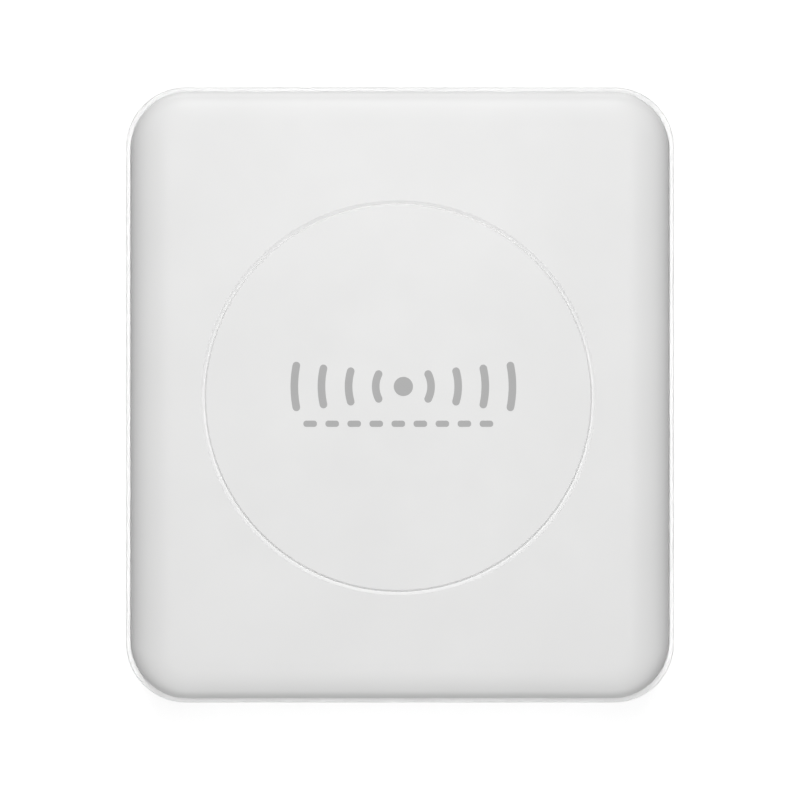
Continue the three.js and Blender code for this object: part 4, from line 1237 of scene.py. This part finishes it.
def cell_aerial(number):
    """A flexible film on the inside of the frame, with copper tracks towards the inside."""
    name = f"cell_aerial_{number}"
    low, high = node_box(name)
    centre, size = middle(name), high - low
    if size.x < 1:
        side, along, half, inner = "-x", centre.y, size.y / 2, -high.x
    else:
        side = "+y" if low.y > 0 else "-y"
        along, half, inner = centre.x, size.x / 2, min(abs(low.y), abs(high.y))
    at, tall = (along, centre.z), size.z / 2
    film = facing(side, prism(half, tall, 0.9, inner + 0.03, inner + 0.3, at, arcs=5))
    piece(f"{name}_film", film, "flex", name)
    copper = (inner, inner + 0.04)
    edges = [rounded(half - inset, tall - inset, 0.8 - inset / 2, 5) for inset in (0.8, 0.4)]
    tracks = [prism(half - 3, 0.3, 0.29, *copper, (along, centre.z + dz)) for dz in (-0.9, 0.3, 1.4)]
    turned = [facing(side, track) for track in (hoop(*edges, *copper, at), *tracks)]
    piece(f"{name}_tracks", together(*turned), "gold", slot="flex")


# ---- stage, light and camera

WHITE = (1.0, 1.0, 1.0, 1.0)


def floor():
    """A pale, faintly glowing table that grows white far from the object. From below it can be
    seen through."""
    reach = 3000
    corners = [(-reach, -reach, 0), (reach, -reach, 0), (reach, reach, 0), (-reach, reach, 0)]
    made = object_of((corners, [(0, 1, 2, 3)]), "floor")
    n = Nodes("floor_table")
    away = n.add("ShaderNodeVectorMath", {0: n.place}, operation="LENGTH").outputs["Value"]
    n.shade(
        Base_Color=(0.46, 0.46, 0.46, 1),
        Roughness=0.9,
        Emission_Color=WHITE,
        Emission_Strength=n.between(away, 0.72, 1.0, (0.12, 0.5)),
    )
    clear = n.add("ShaderNodeBsdfTransparent").outputs[0]
    below = n.add("ShaderNodeNewGeometry").outputs["Backfacing"]
    mix = n.add("ShaderNodeMixShader", {0: below, 1: n.shader.outputs[0], 2: clear})
    n.feed(n.tree.nodes["Material Output"].inputs["Surface"], mix.outputs[0])
    made.data.materials.append(n.material)
    made.visible_diffuse = False
    made.visible_shadow = False


def area_light(name, place, size, power, target=(0, 0, 0), only=()):
    """A softbox that the camera doesn't see, aimed at a point on the object, with its sizes in mm.
    It can be kept for some of the pieces, as a flag keeps it off the rest in a studio."""
    light = bpy.data.lights.new(name, "AREA")
    light.shape = "RECTANGLE"
    light.size, light.size_y = size[0] * MM, size[1] * MM
    light.energy = power
    made = bpy.data.objects.new(name, light)
    scene.collection.objects.link(made)
    made.location = Vector(place) * MM
    aim = Vector(target) * MM - made.location
    made.rotation_euler = aim.to_track_quat("-Z", "Y").to_euler()
    made.visible_camera = False
    if only:
        lit = bpy.data.collections.new(f"{name}_lit")
        for lit_piece in only:
            lit.objects.link(lit_piece)
        made.light_linking.receiver_collection = lit


def studio_lights(on_cover, others):
    area_light("overhead", (0, 90, 760), (240, 560), 2.7)
    area_light("from_sockets_side", (0, 400, 520), (420, 200), 1.72)
    area_light("from_lights_side", (0, -560, 330), (500, 160), 0.8)
    area_light("low_strip", (0, 640, 60), (640, 50), 0.8, (0, 50, 18), on_cover)
    area_light("low_fill", (0, -580, -280), (500, 120), 0.2, (0, 0, 10), on_cover)
    for x, y, power in ((560, 0, 1.1), (-560, 0, 1.1), (0, -580, 0.5), (0, 580, 0.45)):
        area_light("wall_fill", (x, y, -280), (500, 120), power, (0, 0, 10), others)
    area_light("rim_fill", (0, -420, 620), (400, 160), 1.3, only=others)
    area_light("under_fill", (0, 0, -700), (400, 400), 2.2, only=others)


def surroundings():
    """White as a backdrop, dim as a light."""
    world = bpy.data.worlds.new("studio")
    scene.world = world
    world.use_nodes = True
    nodes, links = world.node_tree.nodes, world.node_tree.links
    backdrop, dim = nodes["Background"], nodes.new("ShaderNodeBackground")
    for node, strength in ((backdrop, 1.0), (dim, 0.10)):
        node.inputs["Color"].default_value = WHITE
        node.inputs["Strength"].default_value = strength
    path = nodes.new("ShaderNodeLightPath")
    mix = nodes.new("ShaderNodeMixShader")
    links.new(path.outputs["Is Camera Ray"], mix.inputs[0])
    links.new(dim.outputs[0], mix.inputs[1])
    links.new(backdrop.outputs[0], mix.inputs[2])
    links.new(mix.outputs[0], nodes["World Output"].inputs["Surface"])


def camera():
    """Straight above the object, with +Y upwards in the picture."""
    lens, sensor = 135.0, 36.0
    share = 0.685  # share of the picture's width that the object fills
    distance = 2 * HALF_X * lens / (sensor * share)
    data = bpy.data.cameras.new("camera")
    data.lens, data.sensor_width = lens, sensor
    data.clip_start, data.clip_end = 0.01, 20
    made = bpy.data.objects.new("camera", data)
    scene.collection.objects.link(made)
    made.location = Vector((0, -0.9, FRAME_HIGH.z - 0.5 + distance)) * MM
    scene.camera = made


# ---- the object, then the studio

cover_pieces = [top_cover(), cover_mark()]
mid_frame()
bottom_cover()
for number in (1, 2, 3, 4):
    foot(number)
    case_screw(number)

battery_door()
battery()
label("battery_label", "battery", 2)
label("rating_label", "housing", 1.5)
battery_contacts()

side_button("power", power_strokes)
side_button("pairing", pairing_strokes)
button_switch("power_switch")
button_switch("pairing_switch")
reset_button()
status_lights()

sim_tray()
sim_card()
sim_socket()
network_jack()
usb_c_socket()

main_board()
board_chips()
small_parts()
processor()
shield_can("processor_shield")
shield_can("modem_shield")
thermal_pad("processor_thermal_pad")
thermal_pad("modem_thermal_pad")
modem_card()
modem_socket()
modem_fixing()
heat_spreader()
network_transformer()

for number, route in enumerate(LEAD_ROUTES, 1):
    aerial_lead(number, route)
    cell_aerial(number)
wifi_aerial(1)
wifi_aerial(2)

other_pieces = [made for made in scene.objects if made.type == "MESH" and made not in cover_pieces]
studio_lights(cover_pieces, other_pieces)
floor()
surroundings()
camera()

scene.view_settings.view_transform = "Standard"
scene.view_settings.look = "None"
